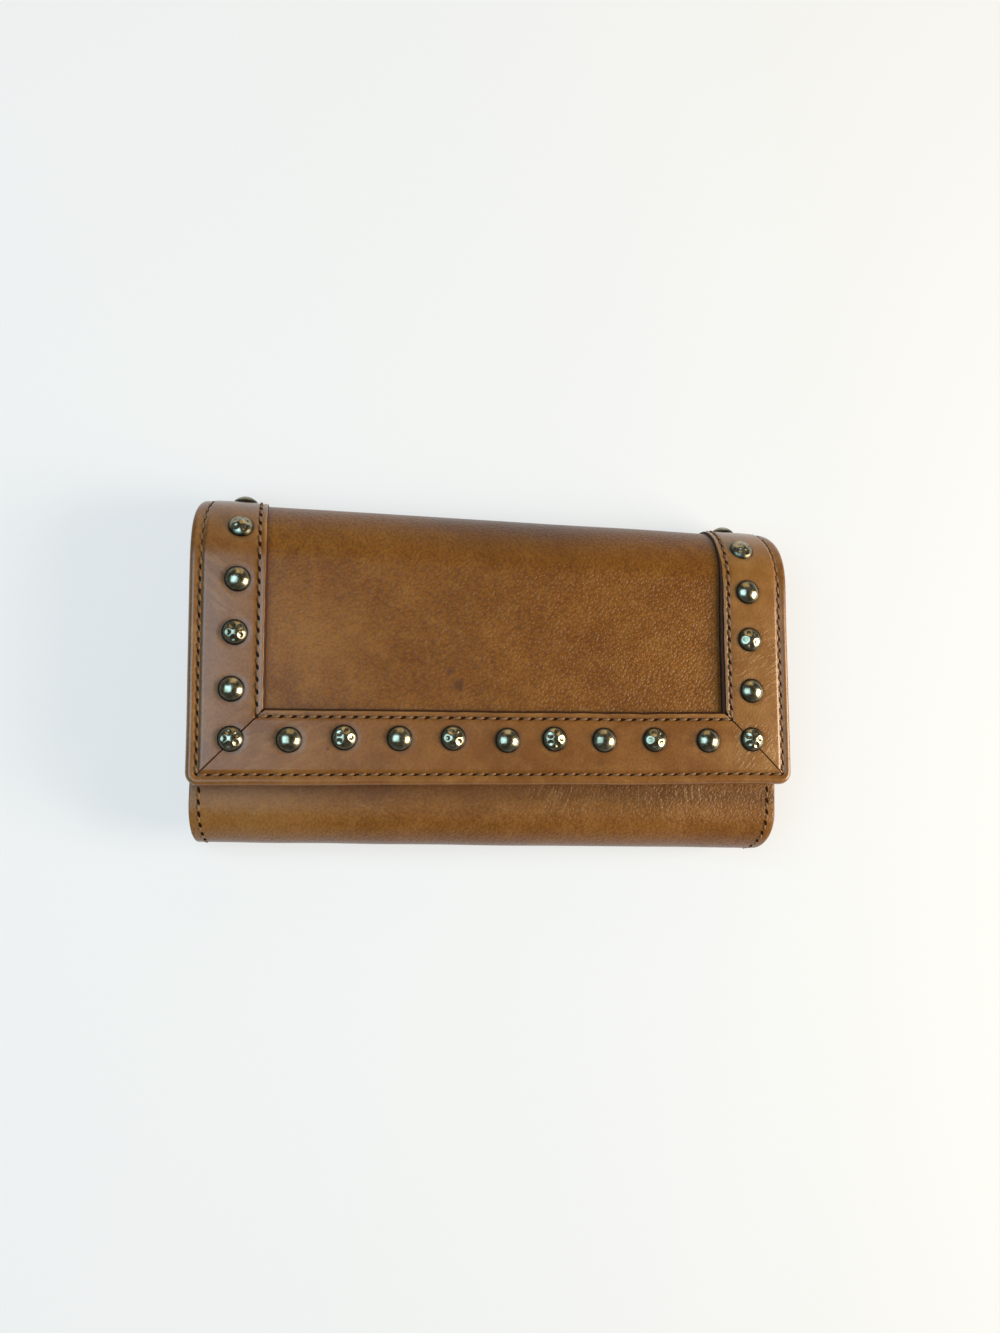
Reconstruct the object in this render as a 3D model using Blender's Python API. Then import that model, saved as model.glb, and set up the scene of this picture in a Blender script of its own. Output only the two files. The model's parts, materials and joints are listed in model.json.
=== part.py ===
# Long wallet with a studded flap, closed and lying on its back.
# X runs along the width, Y from the bottom fold to the top fold, Z out of the front.
# The origin lies on the back face, half way up its flat.
import math

import bmesh
import bpy
from mathutils import Matrix, Vector

MM = 0.001

# outline of the closed wallet
FLAP_WIDTH = 190 * MM
FRONT_WIDTH = 186 * MM
FLAP_RISE = 19 * MM  # lower edge of the flap above the bottom fold
FLAP_DROP = 66.4 * MM  # flat length of the flap, from its lower edge to the start of the top fold
FLAP_CORNER = 3 * MM
FRONT_DROP = 5.4 * MM  # top edge of the front below the start of the top fold
BOTTOM_CORNER = 3 * MM  # how far the sides draw in round the bottom fold
FOLD_BACK_RADIUS = 10 * MM

# leather, lining and the gaps between them
LEATHER = 1.5 * MM
STRIP = 1.5 * MM
LINING = 0.7 * MM
LINING_INSET = 1.5 * MM
SEAT = 0.3 * MM  # gap between pieces that are sewn, glued or riveted together
FLAP_CLEAR = 0.5 * MM

# note compartments, coin pocket and gussets
COMPARTMENT = 6.5 * MM
COIN_DEPTH = 5 * MM
POCKET_WALL = 0.8 * MM
POCKET_DROP = 10 * MM  # coin pocket below the front's top edge
GUSSET = 0.8 * MM
GUSSET_DEPTH = 7 * MM
GUSSET_FLANGE = 5 * MM
GUSSET_INSET = 1 * MM
GUSSET_FOOT = 1.7 * MM
GUSSET_DROP = 4 * MM

# strips and studs
STRIP_WIDTH = 22.5 * MM
STRIP_TAIL = 3 * MM  # strip beyond the last stud
STUD_OFF = 8.8 * MM  # stud centres from the strip's inner edge
STUDS_ACROSS = 11
STUDS_ON_FOLD = 2
HEAD_RADIUS = 4.2 * MM
HEAD_HEIGHT = 2.2 * MM
HEAD_RIM = 0.3 * MM
SHANK_RADIUS = 1 * MM
DIMPLES = 5
DIMPLE_RING = 2.3 * MM
DIMPLE_RADIUS = 1.4 * MM
DIMPLE_DEPTH = 0.4 * MM
STUD_TURN = math.radians(37)  # each hammered head is turned this much from the one before

# magnetic snap
SNAP_RADIUS = 7 * MM
SNAP_EDGE = 1 * MM
SNAP_SOCKET = 1.3 * MM
SNAP_DISC = 1 * MM
SNAP_NUB = 2.2 * MM
SNAP_PLAY = 0.4 * MM

# card pockets inside the flap
CARDS = 3
CARD_LEATHER = 0.6 * MM
CARD_INSET = 8 * MM
CARD_OFF = 2.5 * MM  # first mouth above the snap
CARD_STEP = 12 * MM
CARD_TOP_GAP = 4 * MM

# zip of the coin pocket
TAPE = 0.5 * MM
TAPE_GAP = 1.6 * MM
ZIP_MARGIN = 11.7 * MM
CHAIN_CORE = 1.1 * MM
CHAIN_HALF = 1.9 * MM
CHAIN_HEIGHT = 1.4 * MM
TOOTH_PITCH = 3 * MM
TOOTH_WIDTH = 1.6 * MM
STOP_LENGTH = 2 * MM
SLIDER_LENGTH = 9 * MM
SLIDER_WALL = 1 * MM
SLIDER_OFF = 10 * MM  # slider centre from the chain's end
BRIDGE_HALF = 0.7 * MM
BRIDGE_LENGTH = 7.2 * MM
BRIDGE_WINDOW = 2.2 * MM
BRIDGE_BAR = 0.8 * MM
PULLER_LENGTH = 18 * MM
PULLER_THICK = 0.9 * MM
PULLER_HALF = 2.2 * MM
PULLER_PLAY = 0.35 * MM

ARC_STEP = math.radians(9)
PLAIN_SIDES = 14
HAMMERED_SIDES = 4 * DIMPLES
SNAP_SIDES = 24
HOLE_SIDES = 8
PLAIN_RINGS = (0.35, 0.68, 0.9, 1)
HAMMERED_RINGS = (0.21, 0.38, 0.55, 0.72, 0.88, 1)

# derived levels, with Y counted from the bottom fold
FLAP_HALF, FRONT_HALF = FLAP_WIDTH / 2, FRONT_WIDTH / 2
LAYERS = LEATHER + SEAT + LINING
POCKET = COIN_DEPTH + 2 * POCKET_WALL
BODY_DEPTH = 2 * (LAYERS + COMPARTMENT) + POCKET
BOTTOM_RADIUS = BODY_DEPTH / 2
CARD_STACK = FLAP_CLEAR + CARDS * (CARD_LEATHER + SEAT)
SNAP_STACK = SNAP_SOCKET + SNAP_DISC + 3 * SEAT
FLAP_INSIDE = BODY_DEPTH + max(CARD_STACK, SNAP_STACK)
FLAP_FACE = FLAP_INSIDE + LAYERS
FOLD_FRONT_RADIUS = FLAP_FACE - FOLD_BACK_RADIUS
FOLD_START = FLAP_RISE + FLAP_DROP
FRONT_HEIGHT = FOLD_START - FRONT_DROP
POCKET_HEIGHT = FRONT_HEIGHT - POCKET_DROP
BACK_TOP = FOLD_START + FOLD_FRONT_RADIUS - FOLD_BACK_RADIUS
MIDDLE = (BOTTOM_RADIUS + BACK_TOP) / 2
STRIP_TOP = SEAT + STRIP
STUD_INSET = STRIP_WIDTH - STUD_OFF
STUD_PITCH = (FLAP_WIDTH - 2 * STUD_INSET) / (STUDS_ACROSS - 1)

# the hide as (length, radius of bend), from the front's top edge round the bottom, up the back and over
# the top to the flap's lower edge
WRAP = (
    (FRONT_HEIGHT - BOTTOM_RADIUS, 0),
    (math.pi * BOTTOM_RADIUS, BOTTOM_RADIUS),
    (BACK_TOP - BOTTOM_RADIUS, 0),
    (math.pi / 2 * FOLD_BACK_RADIUS, FOLD_BACK_RADIUS),
    (math.pi / 2 * FOLD_FRONT_RADIUS, FOLD_FRONT_RADIUS),
    (FLAP_DROP, 0),
)

# places along the hide: bottom crown, flat of the back, flap's edge, studs and the three bend lines
BOTTOM_AT = WRAP[0][0]
CROWN_AT = BOTTOM_AT + WRAP[1][0] / 2
BACK_LOW_AT = BOTTOM_AT + WRAP[1][0]
BACK_TOP_AT = BACK_LOW_AT + WRAP[2][0]
EDGE_AT = sum(length for length, radius in WRAP)
STUD_ROW_AT = EDGE_AT - STUD_INSET
STUDS_ON_FLAT = int((FLAP_DROP - STUD_INSET) / STUD_PITCH)
LAST_STUD = STUDS_ON_FLAT + STUDS_ON_FOLD
LAST_STUD_AT = STUD_ROW_AT - LAST_STUD * STUD_PITCH
FOLD_FRONT_AT = STUD_ROW_AT - (STUDS_ON_FLAT + 0.5) * STUD_PITCH
FOLD_MID_AT = FOLD_FRONT_AT - STUD_PITCH
STRIP_END_AT = LAST_STUD_AT - HEAD_RADIUS - STRIP_TAIL
FOLD_BACK_AT = (BACK_TOP_AT + LAST_STUD_AT - HEAD_RADIUS) / 2

# zip levels above the coin pocket
POCKET_SIDE = FRONT_HALF - GUSSET_INSET - GUSSET_FLANGE - GUSSET_DEPTH - SEAT
CHAIN_END = POCKET_SIDE - ZIP_MARGIN
TAPE_TOP = POCKET_HEIGHT + SEAT + TAPE
CHAIN_LOW = TAPE_TOP + SEAT
CHAIN_TOP = CHAIN_LOW + CHAIN_HEIGHT
SLIDER_TOP = CHAIN_TOP + SEAT + SLIDER_WALL
SLIDER_AT = SLIDER_OFF - CHAIN_END
PULLER_AXIS = SLIDER_TOP + BRIDGE_WINDOW / 2

# looks: colour, roughness and metallic value
TAN = ((0.50, 0.22, 0.075), 0.5, 0.0)
PEBBLED = ((0.36, 0.13, 0.04), 0.45, 0.0)
CLOTH = ((0.16, 0.09, 0.05), 0.85, 0.0)
BRONZE = ((0.10, 0.075, 0.05), 0.35, 1.0)
BRASS = ((0.55, 0.40, 0.16), 0.35, 1.0)
NICKEL = ((0.6, 0.6, 0.6), 0.3, 1.0)


def wrap(at):
    """Point and outward direction on the hide's outer face, this far along it."""
    y, z, heading = FRONT_HEIGHT, BODY_DEPTH, math.pi
    for length, radius in WRAP:
        run = min(at, length)
        if radius:
            y, z = y - radius * math.sin(heading), z + radius * math.cos(heading)
            heading += run / radius
            y, z = y + radius * math.sin(heading), z - radius * math.cos(heading)
        else:
            y, z = y + run * math.cos(heading), z + run * math.sin(heading)
        at -= run
        if at <= 0:
            break
    return Vector((0, y - MIDDLE, z)), Vector((0, math.sin(heading), -math.cos(heading)))


def half_width(at):
    """Half the hide's width this far along it: drawn in at the bottom fold, widening up the back."""
    if at < BACK_LOW_AT:
        turn = max(0, at - BOTTOM_AT) / BOTTOM_RADIUS
        return FRONT_HALF - BOTTOM_CORNER * (1 - abs(math.cos(turn)))
    rise = min(1, (at - BACK_LOW_AT) / (BACK_TOP_AT - BACK_LOW_AT))
    return FRONT_HALF + (FLAP_HALF - FRONT_HALF) * rise


def stations(start, stop):
    """Places along the hide from start to stop, close together on the bends."""
    marks, base = [start], 0
    for length, radius in WRAP:
        low, high = max(start, base), min(stop, base + length)
        if high > low:
            count = math.ceil((high - low) / radius / ARC_STEP) if radius else 1
            marks += [low + (high - low) * k / count for k in range(1, count + 1)]
        base += length
    return marks


def finish(name, mesh, look, parent=None, place=None):
    """Turn a bmesh into a named object with its own material, under the empty of its joint."""
    colour, roughness, metallic = look
    bmesh.ops.recalc_face_normals(mesh, faces=mesh.faces)
    data = bpy.data.meshes.new(name)
    mesh.to_mesh(data)
    mesh.free()
    if place:
        data.transform(place)
    data.shade_smooth()
    data.set_sharp_from_angle(angle=math.radians(30))
    paint = bpy.data.materials.new(name)
    paint.use_nodes = True
    shader = paint.node_tree.nodes["Principled BSDF"]
    shader.inputs["Base Color"].default_value = (*colour, 1)
    shader.inputs["Roughness"].default_value = roughness
    shader.inputs["Metallic"].default_value = metallic
    data.materials.append(paint)
    piece = bpy.data.objects.new(name, data)
    bpy.context.collection.objects.link(piece)
    hang(piece, parent)
    return piece


def hang(piece, parent):
    """Parent a piece to an empty, keeping its place in the world."""
    if parent:
        piece.parent = parent
        piece.matrix_parent_inverse = Matrix.Translation(-AXES[parent.name])


def loft(mesh, rings):
    """Closed solid through rings with as many points each."""
    rows = [[mesh.verts.new(p) for p in ring] for ring in rings]
    for a, b in zip(rows, rows[1:]):
        for i in range(len(a)):
            j = (i + 1) % len(a)
            mesh.faces.new((a[i], a[j], b[j], b[i]))
    mesh.faces.new(reversed(rows[0]))
    mesh.faces.new(rows[-1])


def ribbon(name, rows, outer, inner, look, parent=None):
    """Layer over the hide between two lifts; each row is a pair of (distance along, x)."""
    rings = []
    for left, right in rows:
        ring = []
        for (at, x), lift in ((left, outer), (right, outer), (right, inner), (left, inner)):
            point, out = wrap(at)
            ring.append(point + out * lift + Vector((x, 0, 0)))
        rings.append(ring)
    mesh = bmesh.new()
    loft(mesh, rings)
    return finish(name, mesh, look, parent)


def panel(name, start, stop, outer, inner, inset, look, parent=None):
    """Layer of hide or lining across the full width, less an inset at each side."""
    rows = []
    for at in stations(start, stop):
        half = half_width(at) - inset
        rows.append(((at, -half), (at, half)))
    return ribbon(name, rows, outer, inner, look, parent)


def round_corners(piece, radius):
    """Round the two plan corners at the flap's lower edge."""
    y = wrap(EDGE_AT)[0].y
    near = SEAT / 10
    mesh = bmesh.new()
    mesh.from_mesh(piece.data)
    corners = []
    for edge in mesh.edges:
        a, b = (v.co for v in edge.verts)
        if abs(a.y - y) < near and abs(b.y - y) < near and abs(a.x - b.x) < near:
            corners.append(edge)
    bmesh.ops.bevel(mesh, geom=corners, offset=radius, segments=4, profile=0.5, affect="EDGES")
    mesh.to_mesh(piece.data)
    mesh.free()


def box(name, x, y, z, look, parent=None):
    """Block between pairs of x, y and z; y counts from the bottom fold."""
    sizes = [pair[1] - pair[0] for pair in (x, y, z)]
    centre = Vector((sum(x) / 2, sum(y) / 2 - MIDDLE, sum(z) / 2))
    mesh = bmesh.new()
    bmesh.ops.create_cube(mesh, size=1, matrix=Matrix.Translation(centre) @ Matrix.Diagonal((*sizes, 1)))
    return finish(name, mesh, look, parent)


def prism(name, points, low, high, axes, look, parent=None):
    """Solid over an outline of (u, v); axes turns u, v and a height into x, y and z."""
    mesh = bmesh.new()
    loft(mesh, [[Vector(axes(u, v, h)) for u, v in points] for h in (low, high)])
    return finish(name, mesh, look, parent)


def revolve(profile, sides, turn=0):
    """Solid of revolution about Z through (radius, height) points; a closed profile makes a ring."""
    mesh = bmesh.new()
    start = Matrix.Rotation(turn, 3, "Z")
    verts = [mesh.verts.new(start @ Vector((r, 0, h))) for r, h in profile]
    edges = [mesh.edges.new(pair) for pair in zip(verts, verts[1:])]
    if profile[0][0] > 0:
        edges.append(mesh.edges.new((verts[-1], verts[0])))
    bmesh.ops.spin(
        mesh,
        geom=verts + edges,
        cent=(0, 0, 0),
        axis=(0, 0, 1),
        angle=2 * math.pi,
        steps=sides,
        use_merge=True,
    )
    bmesh.ops.remove_doubles(mesh, verts=mesh.verts, dist=SEAT / 100)
    return mesh


def cut(piece, tool, operation="DIFFERENCE"):
    """Boolean that stays on the piece; the tool itself is left out of the model."""
    tool.hide_render = True
    tool.display_type = "WIRE"
    boolean = piece.modifiers.new(operation.lower(), "BOOLEAN")
    boolean.operation = operation
    boolean.solver = "EXACT"
    boolean.object = tool


def stand(at, x, lift):
    """Matrix that stands a piece on the hide, its Z along the outward direction."""
    point, out = wrap(at)
    spot = point + out * lift + Vector((x, 0, 0))
    return Matrix(((1, 0, 0, spot.x), (0, out.z, out.y, spot.y), (0, -out.y, out.z, spot.z), (0, 0, 0, 1)))


def hammer(mesh, turn):
    """Press a ring of shallow round dimples into a stud's head."""
    for v in mesh.verts:
        if v.co.z < HEAD_RIM + SEAT:
            continue
        depth = 0
        for k in range(DIMPLES):
            angle = turn + 2 * math.pi * k / DIMPLES
            off = math.hypot(v.co.x - DIMPLE_RING * math.cos(angle), v.co.y - DIMPLE_RING * math.sin(angle))
            if off < DIMPLE_RADIUS:
                depth = max(depth, DIMPLE_DEPTH * math.cos(math.pi / 2 * off / DIMPLE_RADIUS))
        v.co.z -= depth


def stud(name, at, x, hammered, turn, parent):
    """Domed nailhead on a shank that goes through strip and hide."""
    ball = (HEAD_RADIUS**2 + HEAD_HEIGHT**2) / (2 * HEAD_HEIGHT)
    foot = -(SEAT + STRIP_TOP + LEATHER)
    profile = [(0, HEAD_RIM + HEAD_HEIGHT)]
    for share in HAMMERED_RINGS if hammered else PLAIN_RINGS:
        radius = share * HEAD_RADIUS
        profile.append((radius, HEAD_RIM + HEAD_HEIGHT - ball + math.sqrt(ball**2 - radius**2)))
    profile += [(HEAD_RADIUS, 0), (SHANK_RADIUS, 0), (SHANK_RADIUS, foot), (0, foot)]
    mesh = revolve(profile, HAMMERED_SIDES if hammered else PLAIN_SIDES, turn)
    if hammered:
        hammer(mesh, turn)
    finish(name, mesh, BRONZE, parent, stand(at, x, STRIP_TOP + SEAT))


def stud_holes(name, places):
    """One cutting tool with a shank hole for each stud."""
    mesh = bmesh.new()
    radius = SHANK_RADIUS + SEAT
    for at, x in places:
        bmesh.ops.create_cone(
            mesh,
            cap_ends=True,
            segments=HOLE_SIDES,
            radius1=radius,
            radius2=radius,
            depth=2 * (LEATHER + STRIP_TOP),
            matrix=stand(at, x, 0),
        )
    return finish(name, mesh, TAN)


def gusset(name, side):
    """Side fold: flanges inside back and front, and a crease that reaches in to the coin pocket."""
    reach = BOTTOM_RADIUS - LAYERS - SEAT
    foot = LAYERS + SEAT + GUSSET_FOOT
    edge = FRONT_HALF - GUSSET_INSET
    knee = edge - GUSSET_FLANGE
    levels = [foot + (BOTTOM_RADIUS - foot) * k / 4 for k in range(5)] + [FRONT_HEIGHT - GUSSET_DROP]
    rings = []
    for y in levels:
        half = math.sqrt(reach**2 - max(0, BOTTOM_RADIUS - y) ** 2)
        depth = GUSSET_DEPTH * half / reach
        leg = math.hypot(half, depth)
        inner_knee = knee + GUSSET * (leg - depth) / half
        inner_crease = knee - depth + GUSSET * leg / half
        skin = [(edge, half), (knee, half), (knee - depth, 0), (knee, -half), (edge, -half)]
        lip = half - GUSSET
        inside = [(edge, -lip), (inner_knee, -lip), (inner_crease, 0), (inner_knee, lip), (edge, lip)]
        rings.append([Vector((side * x, y - MIDDLE, BOTTOM_RADIUS + z)) for x, z in skin + inside])
    mesh = bmesh.new()
    loft(mesh, rings)
    finish(name, mesh, PEBBLED)


for old in list(bpy.data.objects):
    bpy.data.objects.remove(old)

# an empty on the axis of every joint; the folds turn on their outermost face
AXES = {
    "fold_back": wrap(FOLD_BACK_AT)[0],
    "fold_mid": stand(FOLD_MID_AT, 0, STRIP_TOP).translation,
    "fold_front": stand(FOLD_FRONT_AT, 0, STRIP_TOP).translation,
    "front_open": wrap(CROWN_AT)[0],
    "divider_open": wrap(CROWN_AT)[0],
    "zip_slide": Vector((SLIDER_AT, CHAIN_LOW - MIDDLE, BOTTOM_RADIUS)),
    "puller_swing": Vector((SLIDER_AT, PULLER_AXIS - MIDDLE, BOTTOM_RADIUS)),
}
CARRIED_BY = {
    "fold_mid": "fold_back",
    "fold_front": "fold_mid",
    "zip_slide": "divider_open",
    "puller_swing": "zip_slide",
}
joint = {None: None}
for name, spot in AXES.items():
    joint[name] = bpy.data.objects.new(name, None)
    bpy.context.collection.objects.link(joint[name])
    joint[name].location = spot
    hang(joint[name], joint[CARRIED_BY.get(name)])

# hide and lining, cut at the bend lines
split = SEAT / 2
LENGTHS = {
    "front": (0, CROWN_AT - split, TAN, "front_open"),
    "back": (CROWN_AT + split, FOLD_BACK_AT - split, TAN, None),
    "lower_fold": (FOLD_BACK_AT + split, FOLD_MID_AT - split, PEBBLED, "fold_back"),
    "upper_fold": (FOLD_MID_AT + split, FOLD_FRONT_AT - split, PEBBLED, "fold_mid"),
    "flap": (FOLD_FRONT_AT + split, EDGE_AT, PEBBLED, "fold_front"),
}
hide = {}
for name, (start, stop, look, axis) in LENGTHS.items():
    hide[name] = panel(name + "_panel", start, stop, 0, -LEATHER, 0, look, joint[axis])
    start += LINING_INSET if name == "front" else 0
    stop -= LINING_INSET if name == "flap" else 0
    panel(name + "_lining", start, stop, -LEATHER - SEAT, -LAYERS, LINING_INSET, CLOTH, joint[axis])
round_corners(hide["flap"], FLAP_CORNER)

# strips, mitred at the lower corners and carried over the fold
mitre = SEAT * math.sqrt(2)
strip_inner = FLAP_HALF - STRIP_WIDTH
rows = [
    ((EDGE_AT, side * (FLAP_HALF - mitre)), (EDGE_AT - STRIP_WIDTH, side * (strip_inner - mitre)))
    for side in (-1, 1)
]
pierced = {name: [hide[name]] for name in ("lower_fold", "upper_fold", "flap")}
pierced["flap"].append(ribbon("bottom_strip", rows, STRIP_TOP, SEAT, TAN, joint["fold_front"]))
for side, word in ((-1, "left"), (1, "right")):
    for name, tail in (("lower_fold", "_lower_fold"), ("upper_fold", "_upper_fold"), ("flap", "")):
        start, stop, look, axis = LENGTHS[name]
        marks = stations(max(start, STRIP_END_AT), min(stop, EDGE_AT - STRIP_WIDTH))
        rows = [((at, side * FLAP_HALF), (at, side * strip_inner)) for at in marks]
        if name == "flap":
            rows[-1] = ((EDGE_AT, side * FLAP_HALF), rows[-1][1])
        strip = ribbon(word + "_strip" + tail, rows, STRIP_TOP, SEAT, TAN, joint[axis])
        pierced[name].append(strip)

# studs: a row along the lower edge and a column up each side, every second one hammered
spots = [(0, STUD_INSET - FLAP_HALF + k * STUD_PITCH, k) for k in range(STUDS_ACROSS)]
for side in (-1, 1):
    spots += [(k, side * (FLAP_HALF - STUD_INSET), k) for k in range(1, LAST_STUD + 1)]
made = {"hammered": 0, "plain": 0}
holes = {name: [] for name in pierced}
for row, x, k in spots:
    at = STUD_ROW_AT - row * STUD_PITCH
    name = "flap" if at > FOLD_FRONT_AT else "upper_fold" if at > FOLD_MID_AT else "lower_fold"
    word = "plain" if k % 2 else "hammered"
    made[word] += 1
    axis = LENGTHS[name][3]
    stud(f"{word}_stud_{made[word]:02d}", at, x, word == "hammered", made[word] * STUD_TURN, joint[axis])
    holes[name].append((at, x))
for name, places in holes.items():
    tool = stud_holes("holes_" + name, places)
    for piece in pierced[name]:
        cut(piece, tool)

# magnetic snap between front and flap
snap_rise = FLAP_RISE + LINING_INSET + SNAP_EDGE + SNAP_RADIUS
snap_place = Matrix.Translation((0, snap_rise - MIDDLE, 0))
socket_low = BODY_DEPTH + SEAT
socket_top = socket_low + SNAP_SOCKET
hole = SNAP_NUB + SNAP_PLAY
ring = [(hole, socket_low), (SNAP_RADIUS, socket_low), (SNAP_RADIUS, socket_top), (hole, socket_top)]
finish("snap_socket", revolve(ring, SNAP_SIDES), NICKEL, joint["front_open"], snap_place)
disc_top = FLAP_INSIDE - SEAT
disc_low = disc_top - SNAP_DISC
nub_low = socket_low + SEAT
profile = [(0, disc_top), (SNAP_RADIUS, disc_top), (SNAP_RADIUS, disc_low)]
profile += [(SNAP_NUB, disc_low), (SNAP_NUB, nub_low), (0, nub_low)]
finish("snap_stud", revolve(profile, SNAP_SIDES), NICKEL, joint["fold_front"], snap_place)

# card pockets, stepped, with their mouths towards the flap's lower edge
first_mouth = snap_rise + SNAP_RADIUS + CARD_OFF
card_x = (CARD_INSET - FLAP_HALF, FLAP_HALF - CARD_INSET)
for k in range(CARDS):
    card_y = (first_mouth + k * CARD_STEP, FOLD_START - CARD_TOP_GAP)
    top = FLAP_INSIDE - SEAT - k * (CARD_LEATHER + SEAT)
    box(f"card_pocket_{k + 1}", card_x, card_y, (top - CARD_LEATHER, top), TAN, joint["fold_front"])

gusset("left_gusset", -1)
gusset("right_gusset", 1)

# coin pocket: a flat back wall, and a front wall with turned-in sides and bottom
divider = joint["divider_open"]
pocket_low = BOTTOM_RADIUS - math.sqrt((BOTTOM_RADIUS - LAYERS - SEAT) ** 2 - (POCKET / 2) ** 2)
pocket_x, pocket_y = (-POCKET_SIDE, POCKET_SIDE), (pocket_low, POCKET_HEIGHT)
pocket_back, pocket_front = BOTTOM_RADIUS - POCKET / 2, BOTTOM_RADIUS + POCKET / 2
wall_inside = pocket_back + POCKET_WALL
box("coin_pocket_back", pocket_x, pocket_y, (pocket_back, wall_inside), PEBBLED, divider)
tray = box("coin_pocket_front", pocket_x, pocket_y, (wall_inside + SEAT, pocket_front), PEBBLED, divider)
room_x = (POCKET_WALL - POCKET_SIDE, POCKET_SIDE - POCKET_WALL)
room_y = (pocket_low + POCKET_WALL, POCKET_HEIGHT + POCKET_WALL)
cut(tray, box("coin_room", room_x, room_y, (pocket_back, pocket_front - POCKET_WALL), PEBBLED))

# zip tapes on the pocket's top edges, with the chain of teeth and its stops over the gap
tape_y = (POCKET_HEIGHT + SEAT, TAPE_TOP)
box("zip_tape_back", pocket_x, tape_y, (pocket_back, BOTTOM_RADIUS - TAPE_GAP / 2), CLOTH, divider)
box("zip_tape_front", pocket_x, tape_y, (BOTTOM_RADIUS + TAPE_GAP / 2, pocket_front), CLOTH, divider)
teeth = int(2 * CHAIN_END / TOOTH_PITCH) - 1
comb = {}
for side in (-1, 1):
    core, tip = side * CHAIN_CORE, side * CHAIN_HALF
    comb[side] = [(-CHAIN_END, core)]
    for k in range(teeth):
        middle = (k - (teeth - 1) / 2 + side / 4) * TOOTH_PITCH
        low, high = middle - TOOTH_WIDTH / 2, middle + TOOTH_WIDTH / 2
        comb[side] += [(low, core), (low, tip), (high, tip), (high, core)]
    comb[side].append((CHAIN_END, core))


def lying(u, v, height):
    return u, height - MIDDLE, BOTTOM_RADIUS + v


prism("zip_chain", comb[-1] + comb[1][::-1], CHAIN_LOW, CHAIN_TOP, lying, BRASS, divider)
stop_half = CHAIN_HALF + SEAT
for side, word in ((-1, "left"), (1, "right")):
    ends = sorted((side * (CHAIN_END + SEAT), side * (CHAIN_END + SEAT + STOP_LENGTH)))
    stop_z = (BOTTOM_RADIUS - stop_half, BOTTOM_RADIUS + stop_half)
    box("zip_stop_" + word, ends, (CHAIN_LOW, CHAIN_TOP), stop_z, BRASS, divider)


# slider: a saddle over the chain, with a bridge for the puller
def along(u, v, height):
    return SLIDER_AT + height, v - MIDDLE, BOTTOM_RADIUS + u


def upright(u, v, height):
    return SLIDER_AT + u, v - MIDDLE, BOTTOM_RADIUS + height


room, skirt = stop_half, stop_half + SLIDER_WALL
ceiling = CHAIN_TOP + SEAT
saddle = [(-skirt, CHAIN_LOW), (-room, CHAIN_LOW), (-room, ceiling), (room, ceiling), (room, CHAIN_LOW)]
saddle += [(skirt, CHAIN_LOW), (skirt, SLIDER_TOP), (-skirt, SLIDER_TOP)]
reach = SLIDER_LENGTH / 2
slider = prism("zip_slider", saddle, -reach, reach, along, BRASS, joint["zip_slide"])
outer, inner = BRIDGE_LENGTH / 2, BRIDGE_LENGTH / 2 - BRIDGE_BAR
sunk, window = SLIDER_TOP - SLIDER_WALL / 2, SLIDER_TOP + BRIDGE_WINDOW
arch = [(-outer, sunk), (-inner, sunk), (-inner, window), (inner, window), (inner, sunk), (outer, sunk)]
arch += [(outer, window + BRIDGE_BAR), (-outer, window + BRIDGE_BAR)]
cut(slider, prism("bridge", arch, -BRIDGE_HALF, BRIDGE_HALF, upright, BRASS), "UNION")

# puller: a flat tab with an eye, whose end bar runs under the bridge
bar = PULLER_THICK / 2
puller_x = (SLIDER_AT - bar, SLIDER_AT + PULLER_LENGTH)
puller_z = (BOTTOM_RADIUS - PULLER_HALF, BOTTOM_RADIUS + PULLER_HALF)
puller_y = (PULLER_AXIS - bar, PULLER_AXIS + bar)
puller = box("zip_puller", puller_x, puller_y, puller_z, BRASS, joint["puller_swing"])
eye_half = BRIDGE_HALF + PULLER_PLAY
eye_x = (SLIDER_AT + bar, SLIDER_AT + outer + BRIDGE_WINDOW)
eye_y = (PULLER_AXIS - PULLER_THICK, PULLER_AXIS + PULLER_THICK)
eye = box("puller_eye", eye_x, eye_y, (BOTTOM_RADIUS - eye_half, BOTTOM_RADIUS + eye_half), BRASS)
cut(puller, eye)
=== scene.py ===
import json
import math

import bpy
import numpy as np
from mathutils import Matrix, Vector, noise


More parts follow.
